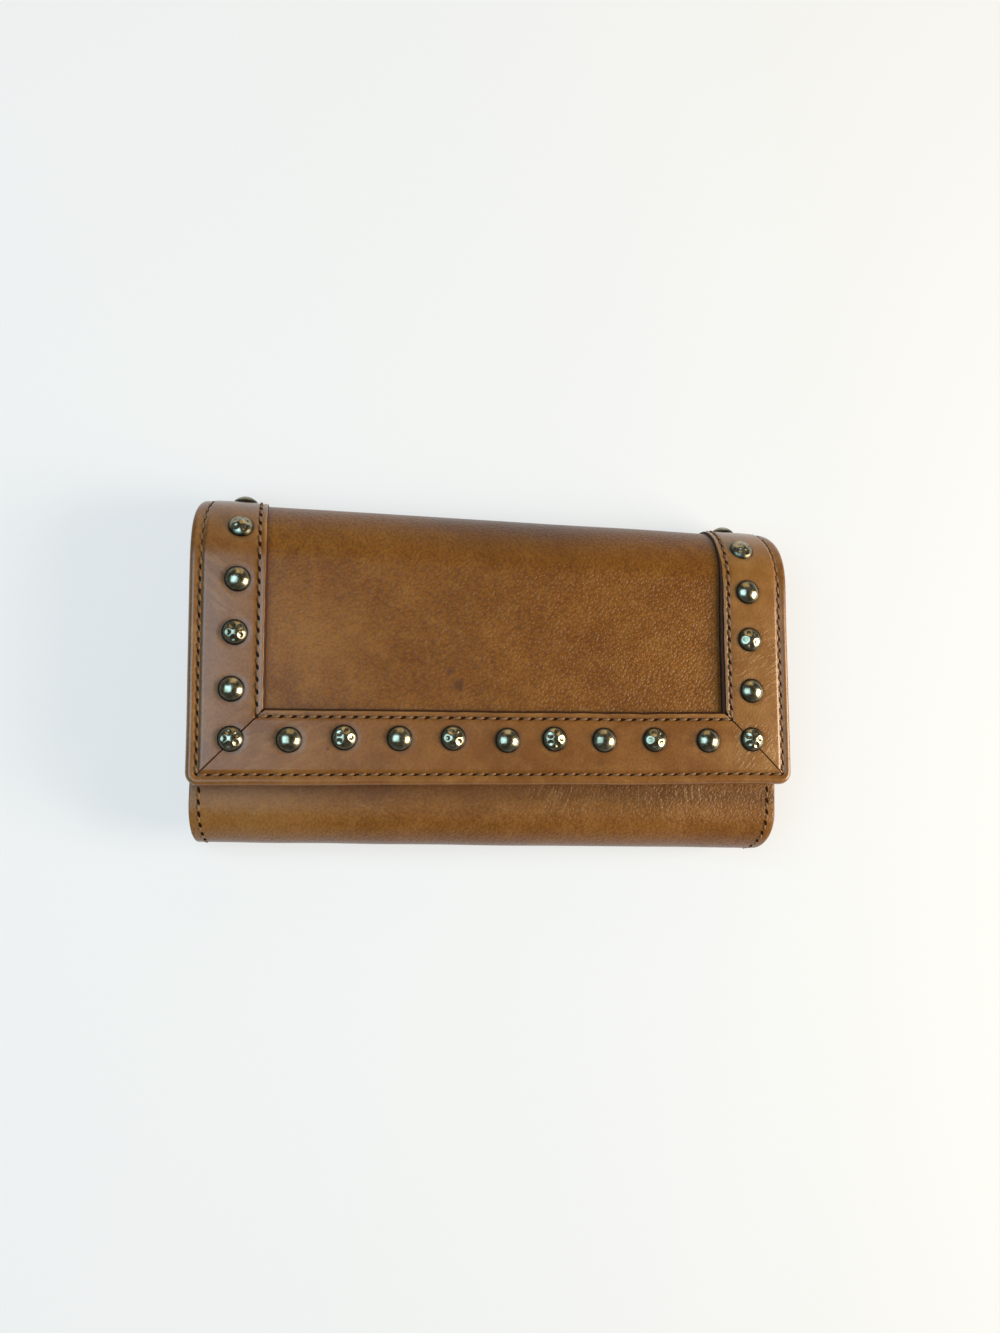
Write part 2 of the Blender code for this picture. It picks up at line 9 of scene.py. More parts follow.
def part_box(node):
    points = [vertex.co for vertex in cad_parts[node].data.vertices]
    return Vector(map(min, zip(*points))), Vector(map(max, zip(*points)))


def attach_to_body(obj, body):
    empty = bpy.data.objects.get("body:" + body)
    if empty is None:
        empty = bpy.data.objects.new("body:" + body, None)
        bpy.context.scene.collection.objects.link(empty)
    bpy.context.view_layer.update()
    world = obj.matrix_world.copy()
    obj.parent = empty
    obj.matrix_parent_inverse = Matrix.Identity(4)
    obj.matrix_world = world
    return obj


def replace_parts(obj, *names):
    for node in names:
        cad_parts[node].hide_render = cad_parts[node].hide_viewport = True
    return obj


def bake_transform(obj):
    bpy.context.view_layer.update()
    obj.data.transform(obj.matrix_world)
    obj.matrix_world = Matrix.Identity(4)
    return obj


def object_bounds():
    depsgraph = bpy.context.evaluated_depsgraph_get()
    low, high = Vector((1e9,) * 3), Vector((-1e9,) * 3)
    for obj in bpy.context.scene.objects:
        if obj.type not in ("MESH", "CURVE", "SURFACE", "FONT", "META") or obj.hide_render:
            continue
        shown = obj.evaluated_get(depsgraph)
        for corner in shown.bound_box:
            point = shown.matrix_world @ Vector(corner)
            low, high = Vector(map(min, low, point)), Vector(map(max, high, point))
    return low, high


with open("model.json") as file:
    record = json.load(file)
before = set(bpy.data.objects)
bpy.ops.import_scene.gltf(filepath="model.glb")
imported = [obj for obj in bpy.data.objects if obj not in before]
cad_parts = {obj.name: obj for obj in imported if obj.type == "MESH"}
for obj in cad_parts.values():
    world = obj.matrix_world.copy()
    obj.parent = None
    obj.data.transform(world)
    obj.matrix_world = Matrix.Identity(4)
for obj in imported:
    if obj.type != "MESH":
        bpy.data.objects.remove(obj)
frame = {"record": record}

mm = 0.001
tiny = 1e-6  # places closer than this are one
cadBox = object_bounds()
bodyOf = {node: body for body, nodes in frame["record"]["behaviour"]["bodies"].items() for node in nodes}


# shader maths as Python sums

def plug(tree, slot, value):
    if isinstance(value, Wire):
        tree.links.new(value.socket, slot)
    elif slot.type == "RGBA" and len(value) == 3:
        slot.default_value = (*value, 1)
    else:
        slot.default_value = value


class Wire:
    def __init__(self, tree, socket):
        self.tree = tree
        self.socket = socket

    def maths(self, operation, *values):
        made = self.tree.nodes.new("ShaderNodeMath")
        made.operation = operation
        for slot, value in zip(made.inputs, values):
            plug(self.tree, slot, value)
        return Wire(self.tree, made.outputs[0])

    def __add__(self, other):
        return self.maths("ADD", self, other)

    def __radd__(self, other):
        return self.maths("ADD", other, self)

    def __sub__(self, other):
        return self.maths("SUBTRACT", self, other)

    def __rsub__(self, other):
        return self.maths("SUBTRACT", other, self)

    def __mul__(self, other):
        return self.maths("MULTIPLY", self, other)

    def __rmul__(self, other):
        return self.maths("MULTIPLY", other, self)


class Finish:
    def __init__(self, name, world=False):
        self.material = (bpy.data.worlds if world else bpy.data.materials).new(name)
        self.material.use_nodes = True
        self.tree = self.material.node_tree
        self.shader = self.tree.nodes["Background" if world else "Principled BSDF"]
        self.output = self.tree.nodes["World Output" if world else "Material Output"]

    def node(self, kind, settings=None, sockets=None, out=0):
        made = self.tree.nodes.new("ShaderNode" + kind)
        for key, value in (settings or {}).items():
            setattr(made, key, value)
        for key, value in (sockets or {}).items():
            plug(self.tree, made.inputs[key], value)
        return Wire(self.tree, made.outputs[out])

    def mix(self, share, low, high, blend="MIX"):
        return self.node("Mix", {"data_type": "RGBA", "blend_type": blend}, {0: share, 6: low, 7: high}, 2)

    def clouds(self, place, size, detail=3.0, rough=0.5):  # size is the width of a blotch
        sockets = {"Vector": place, "Scale": 1 / size, "Detail": detail, "Roughness": rough}
        return self.node("TexNoise", {}, sockets)

    def band(self, value, low, high, first=0.0, last=1.0):
        sockets = {"Value": value, "From Min": low, "From Max": high, "To Min": first, "To Max": last}
        return self.node("MapRange", {"interpolation_type": "SMOOTHSTEP"}, sockets)

    def stretch(self, place, longer, turn=0.0):  # draws a pattern out along its turned axes
        sockets = {"Vector": place, "Scale": longer, "Rotation": (0, 0, turn)}
        return self.node("Mapping", {"vector_type": "TEXTURE"}, sockets)

    def bench(self):
        return self.node("UVMap", {"uv_map": "bench"})

    def place(self):
        return self.node("TexCoord", {}, out=3)

    def number(self, name):  # a value kept on the piece's points
        return self.node("Attribute", {"attribute_name": name}, out=2)

    def away(self, bench, x, y):  # distance from a spot on the flat cut, given in mm
        return self.node("VectorMath", {"operation": "DISTANCE"}, {0: bench, 1: (x * mm, y * mm, 0)}, 1)

    def relief(self, height, depth):  # depth is the height of the relief in metres
        return self.node("Bump", {}, {"Height": height, "Distance": depth, "Strength": 1.0})

    def put(self, **sockets):
        for key, value in sockets.items():
            plug(self.tree, self.shader.inputs[key.replace("_", " ")], value)
        return self.material

    def backdrop(self, share, glow):  # a pale background, for rays that show one
        rays = ("Is Camera Ray", "Is Glossy Ray", "Is Transmission Ray")
        seen = sum((self.node("LightPath", out=ray) for ray in rays), 0.0)
        lit = Wire(self.tree, self.shader.outputs[0])
        shown = self.node("MixShader", {}, {0: seen * share, 1: lit, 2: glow})
        plug(self.tree, self.output.inputs["Surface"], shown)
        return self.material


# leathers: "bench" is the flat cut's own map in metres, so the grain runs on over seams and folds

grain = {
    "mottle": 26 * mm,
    "cloud": 7 * mm,
    "pore": 0.7 * mm,
    "drawn": (1.25, 0.85, 1),  # pebbles lie a little drawn out
    "creaseLong": 4.5,
    "paler": 0.55,  # how far the clouds lighten it
    # how far dirt and painted shade darken the leather
    "darkening": 0.8,
    "ridge": 0.2,
    # how far crease ridges are painted paler, as a highlight
    "waxRough": 0.27,
}


def leather(name, look, plain=None):  # plain is a second look, taken where "plain" is 1
    f = Finish(name)
    bench, wear, soilAndShade = f.bench(), f.number("wear"), f.number("soilAndShade")
    tint = {key: look[key] for key in ("dark", "deep", "mid", "pale", "worn")}
    pebble, cell = look["pebble"], look["cell"]
    if plain:
        share = f.number("plain")
        tint = {key: f.mix(share, look[key], plain[key]) for key in tint}
        pebble = pebble + share * (plain["pebble"] - pebble)
    push = f.node("TexNoise", {}, {"Vector": bench, "Scale": 0.7 / cell, "Detail": 2.0}, 1)
    place = f.node("VectorMath", {"operation": "MULTIPLY_ADD"}, {0: push, 1: (1.1 * cell,) * 3, 2: bench})
    place = f.stretch(place, grain["drawn"], look["lean"])
    sockets = {"Vector": place, "Scale": 1 / cell, "Smoothness": 0.3}
    pebbles = f.node("TexVoronoi", {"feature": "SMOOTH_F1"}, sockets)
    fine = f.clouds(bench, cell / 2.5, 3.0)
    mottle = f.clouds(bench, grain["mottle"], 4.0, 0.6)
    cloud = f.clouds(bench, grain["cloud"], 4.0, 0.6)
    pores = f.clouds(bench, grain["pore"], 2.0)

    colour = f.mix(f.band(mottle, 0.36, 0.66), tint["deep"], tint["mid"])
    colour = f.mix(f.band(cloud, 0.42, 0.72) * grain["paler"], colour, tint["pale"])
    colour = f.mix(f.band(pores, 0.55, 0.8) * look["pores"], colour, tint["dark"])
    colour = f.mix(f.band(pebbles, 0.05, 0.35, 1, 0) * look["creases"] * pebble, colour, tint["pale"])
    colour = f.mix(f.band(pebbles, 0.35, 0.8) * look["creases"] * pebble, colour, tint["dark"])
    # paler where worn, and where painted sheen and light are carried in the wear value
    colour = f.mix(f.band(wear + cloud * 0.7 - 0.35, 0.1, 0.9) * look["scuff"], colour, tint["worn"])
    # darker where dirt and painted shade lie
    colour = f.mix(soilAndShade * grain["darkening"], colour, tint["dark"])
    for x, y, radius, strength in look["stains"]:
        reach = radius * mm
        away = f.away(bench, x, y) + (cloud - 0.5) * (2.6 * reach)
        colour = f.mix(f.band(away, 0.25 * reach, 1.2 * reach, strength, 0), colour, look["stain"])

    height = (1 - pebbles) * pebble + fine * look["fine"] + cloud * 0.9
    for x, y, radius, size, turn, strength in look["wrinkles"]:  # fine creases, with a painted highlight paler on their ridges
        reach = radius * mm
        lines = f.clouds(f.stretch(bench, (1, grain["creaseLong"], 1), turn), size * mm, 3.0)
        patch = f.band(f.away(bench, x, y) + (cloud - 0.5) * reach, 0.3 * reach, reach, 1, 0)
        ridges = patch * f.band(lines, 0.5, 0.64)
        height = height + ridges * strength
        # painted highlight: the crease ridges turned paler
        colour = f.mix(ridges * grain["ridge"], colour, tint["worn"])
    rough = look["rough"] + (cloud - 0.5) * 0.2 + (pebbles - 0.45) * 0.08 - wear * 0.05
    f.put(Coat_Weight=look["wax"], Coat_Roughness=grain["waxRough"], Specular_IOR_Level=look["shine"])
    return f.put(Base_Color=colour, Roughness=rough, Normal=f.relief(height, look["relief"]))


stripLook = {
    "dark": (0.06, 0.021, 0.005),
    "deep": (0.165, 0.054, 0.0075),
    "mid": (0.212, 0.075, 0.012),
    "pale": (0.262, 0.105, 0.022),
    "worn": (0.36, 0.175, 0.05),
    "stain": (0.05, 0.02, 0.008),
    "cell": 0.8 * mm,
    "lean": 0.9,
    "pores": 0.36,
    "creases": 0.38,
    "scuff": 0.45,
    "pebble": 0.6,
    "fine": 0.5,
    "relief": 0.085 * mm,
    "rough": 0.35,
    "shine": 0.25,
    "wax": 0.7,
    "stains": [(-53.6, 10.9, 0.6, 0.9), (31, 6.5, 1.6, 0.25), (-20, 19, 1.2, 0.2)],  # x, y, radius, strength
    "wrinkles": [  # x, y, radius, width of a crease, turn, strength
        (87, 38, 17, 1.1, -1.05, 1.1),
        (84, 10, 13, 1.1, -0.75, 1.1),
        (-90, 58, 18, 1.8, 0.9, 0.4),
        (-70, 12, 24, 2.4, -1.1, 0.25),
    ],
}
panelLook = {
    "dark": (0.06, 0.018, 0.003),
    "deep": (0.156, 0.048, 0.003),
    "mid": (0.204, 0.068, 0.0055),
    "pale": (0.25, 0.094, 0.011),
    "worn": (0.3, 0.12, 0.024),
    "stain": (0.065, 0.02, 0.005),
    "cell": 0.9 * mm,
    "lean": 0.9,
    "pores": 0.25,
    "creases": 0.42,
    "scuff": 0.3,
    "pebble": 1.0,
    "fine": 0.35,
    "relief": 0.19 * mm,
    "rough": 0.36,
    "shine": 0.22,
    "wax": 0.22,
    "stains": [(-13.7, 30.5, 2.4, 0.75), (-16, 35, 1.5, 0.6), (-8.5, 37, 1.6, 0.4)],
    "wrinkles": [(58, 252, 26, 1.5, 0.12, 0.4), (22, 246, 18, 1.6, -0.3, 0.25)],
}
bodyLook = {
    **panelLook,
    "deep": (0.175, 0.061, 0.0095),
    "mid": (0.222, 0.083, 0.015),
    "pale": (0.264, 0.109, 0.025),
    "worn": (0.33, 0.16, 0.05),
    "pebble": 0.8,
}
rimLook = {**stripLook, "stains": [], "wrinkles": []}
innerLook = {
    **panelLook,
    "deep": (0.24, 0.11, 0.035),
    "mid": (0.29, 0.14, 0.048),
    "pale": (0.34, 0.175, 0.065),
    "cell": 0.8 * mm,
    "pebble": 0.5,
    "rough": 0.52,
    "wax": 0.1,
    "stains": [],
}
stripLeather = leather("strip_leather", stripLook)
hideLeather = leather("pebbled_leather", panelLook, bodyLook)
rimLeather = leather("turned_leather", rimLook)
innerLeather = leather("inner_leather", innerLook)


# the cut edge of a strip: dark edge paint, worn through to a paler line between the layers

edgeLook = {
    "paint": (0.018, 0.006, 0.003),
    "between": (0.1, 0.036, 0.017),
    "bare": (0.18, 0.08, 0.032),
    "cloud": 2 * mm,
    "line": 1.05 * mm,  # how high the paler line lies
    "fade": (0.2 * mm, 0.6 * mm),
    "stray": 0.5 * mm,
    "relief": 0.05 * mm,
    "shine": 0.15,
}


def paintedEdge(name, look):
    f = Finish(name)
    cloud = f.clouds(f.bench(), look["cloud"], 4.0)
    above = f.number("lift") + (cloud - 0.5) * look["stray"] - look["line"]
    away = f.node("Math", {"operation": "ABSOLUTE"}, {0: above})
    colour = f.mix(f.band(away, *look["fade"], 0.9, 0), look["paint"], look["between"])
    colour = f.mix(f.band(cloud, 0.6, 0.85) * 0.4, colour, look["bare"])
    f.put(Specular_IOR_Level=look["shine"])
    return f.put(Base_Color=colour, Roughness=0.5 + cloud * 0.25, Normal=f.relief(cloud, look["relief"]))


edgePaint = paintedEdge("edge_paint", edgeLook)

threadLook = {
    "low": (0.125, 0.048, 0.013),
    "high": (0.3, 0.138, 0.047),
    "soil": (0.17, 0.07, 0.025),
    "fibre": 0.22 * mm,
    "patch": 9 * mm,
    "relief": 0.08 * mm,
}


def threadFinish(name, look):
    f = Finish(name)
    place = f.place()
    fibre = f.clouds(place, look["fibre"], 2.0)
    soil = f.clouds(place, look["patch"], 3.0)
    colour = f.mix(f.band(fibre, 0.35, 0.7), look["low"], look["high"])
    colour = f.mix(f.band(soil, 0.45, 0.75) * 0.5, colour, look["soil"])
    return f.put(Base_Color=colour, Roughness=0.5 + fibre * 0.2, Normal=f.relief(fibre, look["relief"]))


# a needle hole's shade, painted near-black on a shallow disc
def holeFinish(name):
    f = Finish(name)
    soil = f.clouds(f.place(), 0.5 * mm, 2.0)
    colour = f.mix(soil, (0.01, 0.003, 0.001), (0.035, 0.011, 0.003))
    return f.put(Base_Color=colour, Roughness=0.8 + soil * 0.2, Specular_IOR_Level=0.05)


thread = threadFinish("thread", threadLook)
holeShade = holeFinish("needle_hole_shade")


def cloth(name, low, high, size):  # size is the width of a yarn
    f = Finish(name)
    bench = f.bench()
    yarn = {"Vector": bench, "Scale": 0.31 / size, "Distortion": 0.6}
    warp = f.node("TexWave", {"bands_direction": "X"}, yarn)
    weft = f.node("TexWave", {"bands_direction": "Y"}, yarn)
    soil = f.clouds(bench, 14 * mm, 4.0)
    weave = warp * 0.5 + weft * 0.5
    colour = f.mix(weave * 0.7 + f.band(soil, 0.35, 0.7) * 0.3, low, high)
    f.put(Sheen_Weight=0.15)
    return f.put(Base_Color=colour, Roughness=0.8 + soil * 0.1, Normal=f.relief(weave, 0.06 * mm))


liningCloth = cloth("lining_cloth", (0.085, 0.042, 0.02), (0.17, 0.09, 0.045), 0.45 * mm)
tapeCloth = cloth("zip_tape", (0.05, 0.026, 0.014), (0.13, 0.07, 0.036), 0.5 * mm)


def metal(name, look):
    f = Finish(name)
    place = f.place()
    patina = f.clouds(place, look["patina"], 4.0, 0.6)
    scratch = f.clouds(f.stretch(place, (6, 1, 1), 0.4), 0.1 * mm, 2.0)
    # darker and duller at a stud head's foot: dirt, and painted shade
    dirtAndShade = f.number("soilAndShade")
    colour = f.mix(f.band(patina, 0.35, 0.7), look["deep"], look["bright"])
    colour = f.mix(dirtAndShade, colour, look["dark"])
    rough = look["rough"] + (patina - 0.4) * 0.16 + scratch * 0.05 + dirtAndShade * 0.2
    marks = f.relief(patina * 0.7 + scratch * 0.3, look["relief"])
    return f.put(Base_Color=colour, Roughness=rough, Metallic=1.0, Normal=marks)


studLook = {
    "dark": (0.014, 0.011, 0.007),
    "deep": (0.19, 0.17, 0.11),
    "bright": (0.4, 0.375, 0.28),
    "patina": 1.8 * mm,
    "rough": 0.18,
    "relief": 0.006 * mm,
}
brassLook = {
    **studLook,
    "dark": (0.08, 0.05, 0.02),
    "deep": (0.34, 0.24, 0.1),
    "bright": (0.5, 0.37, 0.17),
    "rough": 0.27,
}
nickelLook = {
    **studLook,
    "dark": (0.1, 0.1, 0.09),
    "deep": (0.4, 0.39, 0.37),
    "bright": (0.56, 0.55, 0.53),
    "rough": 0.24,
}
studBronze = metal("stud_bronze", studLook)
zipBrass = metal("zip_brass", brassLook)
snapNickel = metal("snap_nickel", nickelLook)
print("finishes made")


# the hide's way round the wallet, from the flap's lower edge over the top, down the back and up the front

flapLow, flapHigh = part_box("flap_panel")
frontLow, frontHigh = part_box("front_panel")
foldTop = max(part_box(name)[1].y for name in ("upper_fold_panel", "lower_fold_panel"))
hide = {
    "thick": 1.5 * mm,
    "spineRadius": 10 * mm,
    "bottomDraw": 3 * mm,  # how far the sides draw in round the bottom fold
    "topDraw": 3.2 * mm,  # and round the top fold
    "topFrom": 78 * mm,  # how far out from the middle that starts
    "topReach": 13 * mm,
    "plainFrom": 4 * mm,  # how far before the crest the grain turns plainer
    "cell": 1.3 * mm,
    "rim": 2.7 * mm,  # width of the turned edge round the flap
    "rimEnd": (3 * mm, 2 * mm),  # before and past the strip's tail, where the hide widens to its cut edge
    "edge": 0.35 * mm,
}
flapHalf, frontHalf = flapHigh.x, frontHigh.x
flapFace, bodyFace = flapHigh.z, frontHigh.z
foldRadius, bottomRadius = flapFace - hide["spineRadius"], bodyFace / 2
flapDrop = foldTop - foldRadius - flapLow.y
backTop, bottomTop = foldTop - hide["spineRadius"], frontLow.y + bottomRadius
hideRuns = [  # length and radius of each run
    (flapDrop, 0),
    (math.pi / 2 * foldRadius, foldRadius),
    (math.pi / 2 * hide["spineRadius"], hide["spineRadius"]),
    (backTop - bottomTop, 0),
    (math.pi * bottomRadius, bottomRadius),
    (frontHigh.y - bottomTop, 0),
]
marks = [sum(length for length, radius in hideRuns[:k]) for k in range(len(hideRuns) + 1)]
crestAt, backAt, bottomAt, frontAt, hideLong = marks[2:]
midBack, midBottom = (backAt + bottomAt) / 2, (bottomAt + frontAt) / 2


def smooth(low, high, value):
    share = np.clip((value - low) / (high - low), 0, 1)
    return share * share * (3 - 2 * share)


def bell(value, middle, reach):
    return np.exp(-(((value - middle) / reach) ** 2))


def onHide(along):  # place and outward direction, in y and z, on the hide's outer face
    along = np.asarray(along, float)
    y, z, turn = np.full(along.shape, flapLow.y), np.full(along.shape, flapFace), np.zeros(along.shape)
    for k, (length, radius) in enumerate(hideRuns):
        run = np.minimum(along, length) if k == 0 else np.clip(along, 0, length)
        if radius:
            y, z = y - radius * np.sin(turn), z - radius * np.cos(turn)
            turn = turn + run / radius
            y, z = y + radius * np.sin(turn), z + radius * np.cos(turn)
        else:
            y, z = y + run * np.cos(turn), z - run * np.sin(turn)
        along = along - run
    return y, z, np.sin(turn), np.cos(turn)


def pointOn(along, x=0.0, lift=0.0):
    y, z, outY, outZ = (float(value) for value in onHide(along))
    return Vector((x, y + outY * lift, z + outZ * lift))


def halfWidth(along):
    turn = np.clip((along - bottomAt) / bottomRadius, 0, math.pi)
    body = frontHalf - hide["bottomDraw"] * (1 - np.abs(np.cos(turn)))
    back = np.clip((bottomAt - along) / (bottomAt - backAt), 0, 1)
    return body + (flapHalf - frontHalf) * back


def ripple(x, along, size, seed):
    spots = zip(x.ravel() / size, along.ravel() / size)
    return np.array([noise.noise((a, b, seed)) for a, b in spots]).reshape(x.shape)


sway = {
    "flap": 0.22 * mm,
    "flapSize": 34 * mm,
    "flapEnd": 15 * mm,  # how far down the back the flap's waves die out
    "front": 0.45 * mm,
    "frontSize": 24 * mm,
    "frontEnd": (15 * mm, 26 * mm),  # how far up the front its waves die out
}
wrinkle = {
    "x": (30 * mm, 72 * mm),
    "fade": (8 * mm, 6 * mm),  # outside and inside each end
    "along": frontAt,
    "reach": 24 * mm,
    "height": 0.06 * mm,
    "size": 2.2 * mm,
    "long": 4,
}


def softness(x, along):  # how far the leather sits off its flat, all layers together
    first, last = (frontAt + up for up in sway["frontEnd"])
    onFront = smooth(bottomAt, frontAt, along) * (1 - smooth(first, last, along))
    onFlap = 1 - smooth(backAt, backAt + sway["flapEnd"], along)
    lift = ripple(x, along, sway["flapSize"], 3.1) * sway["flap"] * onFlap
    lift = lift + ripple(x, along, sway["frontSize"], 7.7) * sway["front"] * onFront
    (low, high), (before, past) = wrinkle["x"], wrinkle["fade"]
    near = smooth(low - before, low + past, x) * (1 - smooth(high - past, high + before, x))
    near = near * (1 - smooth(0.3, 1, np.abs(along - wrinkle["along"]) / wrinkle["reach"]))
    lines = ripple(x, along / wrinkle["long"], wrinkle["size"], 1.9)
    return lift + wrinkle["height"] * near * lines


askew = {
    "turn": 0.0228,
    "about": 40 * mm,
    "fade": (55 * mm, 108 * mm),
    "drift": 0.3 * mm,
    "driftSize": 30 * mm,
}


def foldRule(x, along, lift):
    # the flap lies a little askew on the body, and its edges aren't quite straight
    side = np.sign(x) * smooth(hide["topFrom"], flapHalf, np.abs(x))
    drawn = side * bell(along, crestAt, hide["topReach"]) * hide["topDraw"]
    lift = lift + softness(x, along)
    skew = askew["turn"] * (1 - smooth(*askew["fade"], along))
    loose = askew["drift"] * (1 - smooth(backAt, backAt + sway["flapEnd"], along))
    driftX = loose * ripple(x / 3, along, askew["driftSize"], 11.3)
    driftY = loose * ripple(x, along / 3, askew["driftSize"], 5.9)
    newX = x - skew * (along - askew["about"]) - drawn + driftX
    y, z, outY, outZ = onHide(along + skew * x + driftY)
    return newX, y + outY * lift, z + outZ * lift


# modelling helpers

def fresh():
    if bpy.context.object and bpy.context.object.mode != "OBJECT":
        bpy.ops.object.mode_set(mode="OBJECT")
    bpy.ops.object.select_all(action="DESELECT")


def focus(piece):
    fresh()
    piece.select_set(True)
    bpy.context.view_layer.objects.active = piece
    return piece


def edit(piece, mode="EDGE", edges=None, faces=None):  # edit mode with the wanted edges or faces selected
    focus(piece)
    bpy.ops.object.mode_set(mode="EDIT")
    bpy.ops.mesh.select_mode(type=mode)
    bpy.ops.mesh.select_all(action="SELECT" if edges is None and faces is None else "DESELECT")
    bpy.ops.object.mode_set(mode="OBJECT")
    mesh = piece.data
    if edges is not None:
        for edge in mesh.edges:
            edge.select = edges(*(mesh.vertices[k].co for k in edge.vertices))
    if faces is not None:
        for face in mesh.polygons:
            face.select = faces(face.center, face.normal)
    bpy.ops.object.mode_set(mode="EDIT")


def done():
    bpy.ops.object.mode_set(mode="OBJECT")


def named(piece, name):
    piece.name = piece.data.name = name
    return piece


def applied(scale=(1, 1, 1)):  # the new primitive, with its size and place taken into its mesh
    piece = bpy.context.object
    piece.scale = scale
    bpy.ops.object.transform_apply(location=True, rotation=True, scale=True)
    return piece


def withModifier(piece, kind, **settings):
    focus(piece)
    modifier = piece.modifiers.new(kind.lower(), kind)
    for key, value in settings.items():
        setattr(modifier, key, value)
    bpy.ops.object.modifier_apply(modifier=modifier.name)
    return piece


def bevelled(piece, edges, offset, segments=3):
    edit(piece, edges=edges)
    bpy.ops.mesh.bevel(offset=offset, segments=segments, affect="EDGES")
    done()
    return piece


def faceOut(piece):
    edit(piece)
    bpy.ops.mesh.normals_make_consistent(inside=False)
    done()


def smoothed(piece, angle=38):
    focus(piece)
    bpy.ops.object.shade_smooth_by_angle(angle=math.radians(angle))
    return piece


def finishOf(piece, *materials):
    piece.data.materials.clear()
    for material in materials:
        piece.data.materials.append(material)
    return piece


def standFor(piece, node, material, slot, angle=38):  # finished, and riding in place of its CAD node
    finishOf(smoothed(piece, angle), material)
    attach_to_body(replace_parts(piece, node), bodyOf[node])


def copyOf(model, name, stand=Matrix()):
    copy = model.copy()
    copy.data = model.data.copy()
    copy.data.transform(stand)
    bpy.context.scene.collection.objects.link(copy)
    return named(copy, name)


def joined(copies, name):
    fresh()
    for copy in copies:
        copy.select_set(True)
    bpy.context.view_layer.objects.active = copies[0]
    bpy.ops.object.join()
    return named(bpy.context.object, name)


def benchGrid(name, x, y, cell, rows=None):  # leather on the bench: x across, y up from the flap's edge
    fresh()
    bpy.ops.mesh.primitive_grid_add(
        x_subdivisions=max(1, round((x[1] - x[0]) / cell)),
        y_subdivisions=max(1, round((y[1] - y[0]) / (rows or cell))),
        size=1,
        location=(sum(x) / 2, sum(y) / 2, 0),
    )
    return named(applied((x[1] - x[0], y[1] - y[0], 1)), name)


def pointsOf(mesh):
    flat = np.empty(len(mesh.vertices) * 3)
    mesh.vertices.foreach_get("co", flat)
    return flat.reshape(-1, 3).T.copy()


def reshape(piece, rule):
    mesh = piece.data
    mesh.vertices.foreach_set("co", np.column_stack(rule(*pointsOf(mesh))).ravel())
    mesh.update()


def thicken(piece, top, bottom):
    withModifier(piece, "SOLIDIFY", thickness=top - bottom, offset=-1, use_even_offset=True)
    reshape(piece, lambda x, y, z: (x, y, z + top))
    return piece


def leaf(name, x, y, top, bottom, look):  # a flat piece with its edges taken off
    piece = thicken(benchGrid(name, x, y, look["cell"], look.get("rows")), top, bottom)
    return withModifier(piece, "BEVEL", width=look["edge"], segments=2, limit_method="ANGLE")


def cutAcross(piece, point, normal, clear=False):
    edit(piece)
    bpy.ops.mesh.bisect(plane_co=point, plane_no=normal, clear_outer=clear, use_fill=False, threshold=1e-7)
    done()
    return piece


def addNumbers(piece, name, values):
    layer = piece.data.attributes.new(name, "FLOAT", "POINT")
    layer.data.foreach_set("value", np.asarray(values, np.float32))


def mapBench(piece, wear=None, soilAndShade=None):  # the flat cut's map, with its wear and painted sheen, and its dirt and painted shade
    mesh = piece.data
    x, y, z = pointsOf(mesh)
    corner = np.empty(len(mesh.loops), np.int32)
    mesh.loops.foreach_get("vertex_index", corner)
    while mesh.uv_layers:
        mesh.uv_layers.remove(mesh.uv_layers[0])
    layer = mesh.uv_layers.new(name="bench")
    layer.data.foreach_set("uv", np.column_stack((x[corner], y[corner])).astype(np.float32).ravel())
    addNumbers(piece, "along", y)
    addNumbers(piece, "lift", z)
    addNumbers(piece, "wear", wear(x, y, z) if wear else np.zeros(len(x)))
    addNumbers(piece, "soilAndShade", soilAndShade(x, y, z) if soilAndShade else np.zeros(len(x)))
    addNumbers(piece, "plain", smooth(crestAt - hide["plainFrom"], backAt, y))


# studs' places along the hide, from the frame

firstLow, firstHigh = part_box("hammered_stud_01")
nextLow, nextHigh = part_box("plain_stud_01")
studInset = flapHalf + (firstLow.x + firstHigh.x) / 2
studPitch = (nextLow.x + nextHigh.x - firstLow.x - firstHigh.x) / 2
studs = {
    "across": 11,
    "up": 5,
    "radius": 3.9 * mm,
    "height": 2.05 * mm,
    "rim": 0.35 * mm,
    "rimEdge": 0.14 * mm,
    "seat": 1.9 * mm,
    "soil": (0.2 * mm, 1.25 * mm),  # above the rim, where dirt and painted shade at the head's foot give way to bright metal
    "clear": 4.2 * mm,  # no bend comes closer to a stud's middle
    "tail": 7.2 * mm,  # from the last stud to the strip's end
}
columnX = flapHalf - studInset
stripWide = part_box("left_strip")[1].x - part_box("left_strip")[0].x
handSet = {  # how far each head was set off its mark, across and along, in mm
    0: [(-0.9, 0), (-0.1, -0.2), (0, 0.5), (0.4, 0.3), (0.5, 0.5), (1.2, 0), (-0.2, 0.4),
        (-0.3, 0.2), (0, 0.4), (1.5, 0), (0.1, 0.4)],
    -1: [(-0.9, -1.5), (-0.2, -0.9), (0.3, -1.2), (0.9, -1.5), (1.6, 2.6)],
    1: [(0.4, -0.3), (0.2, 0), (-0.2, -0.7), (-0.5, -1.5), (-0.4, 2.9)],
}
studSpots = [(studInset, k * studPitch - columnX, k) for k in range(studs["across"])]
for side in (-1, 1):
    studSpots += [(studInset + k * studPitch, side * columnX, k) for k in range(1, studs["up"] + 1)]
studSpots = [
    (along + off[1] * mm, x + off[0] * mm, k)
    for (along, x, k), off in zip(studSpots, handSet[0] + handSet[-1] + handSet[1])
]
spineStud, foldStud = studInset + 5 * studPitch, studInset + 4 * studPitch
stripTail = spineStud + studs["tail"]
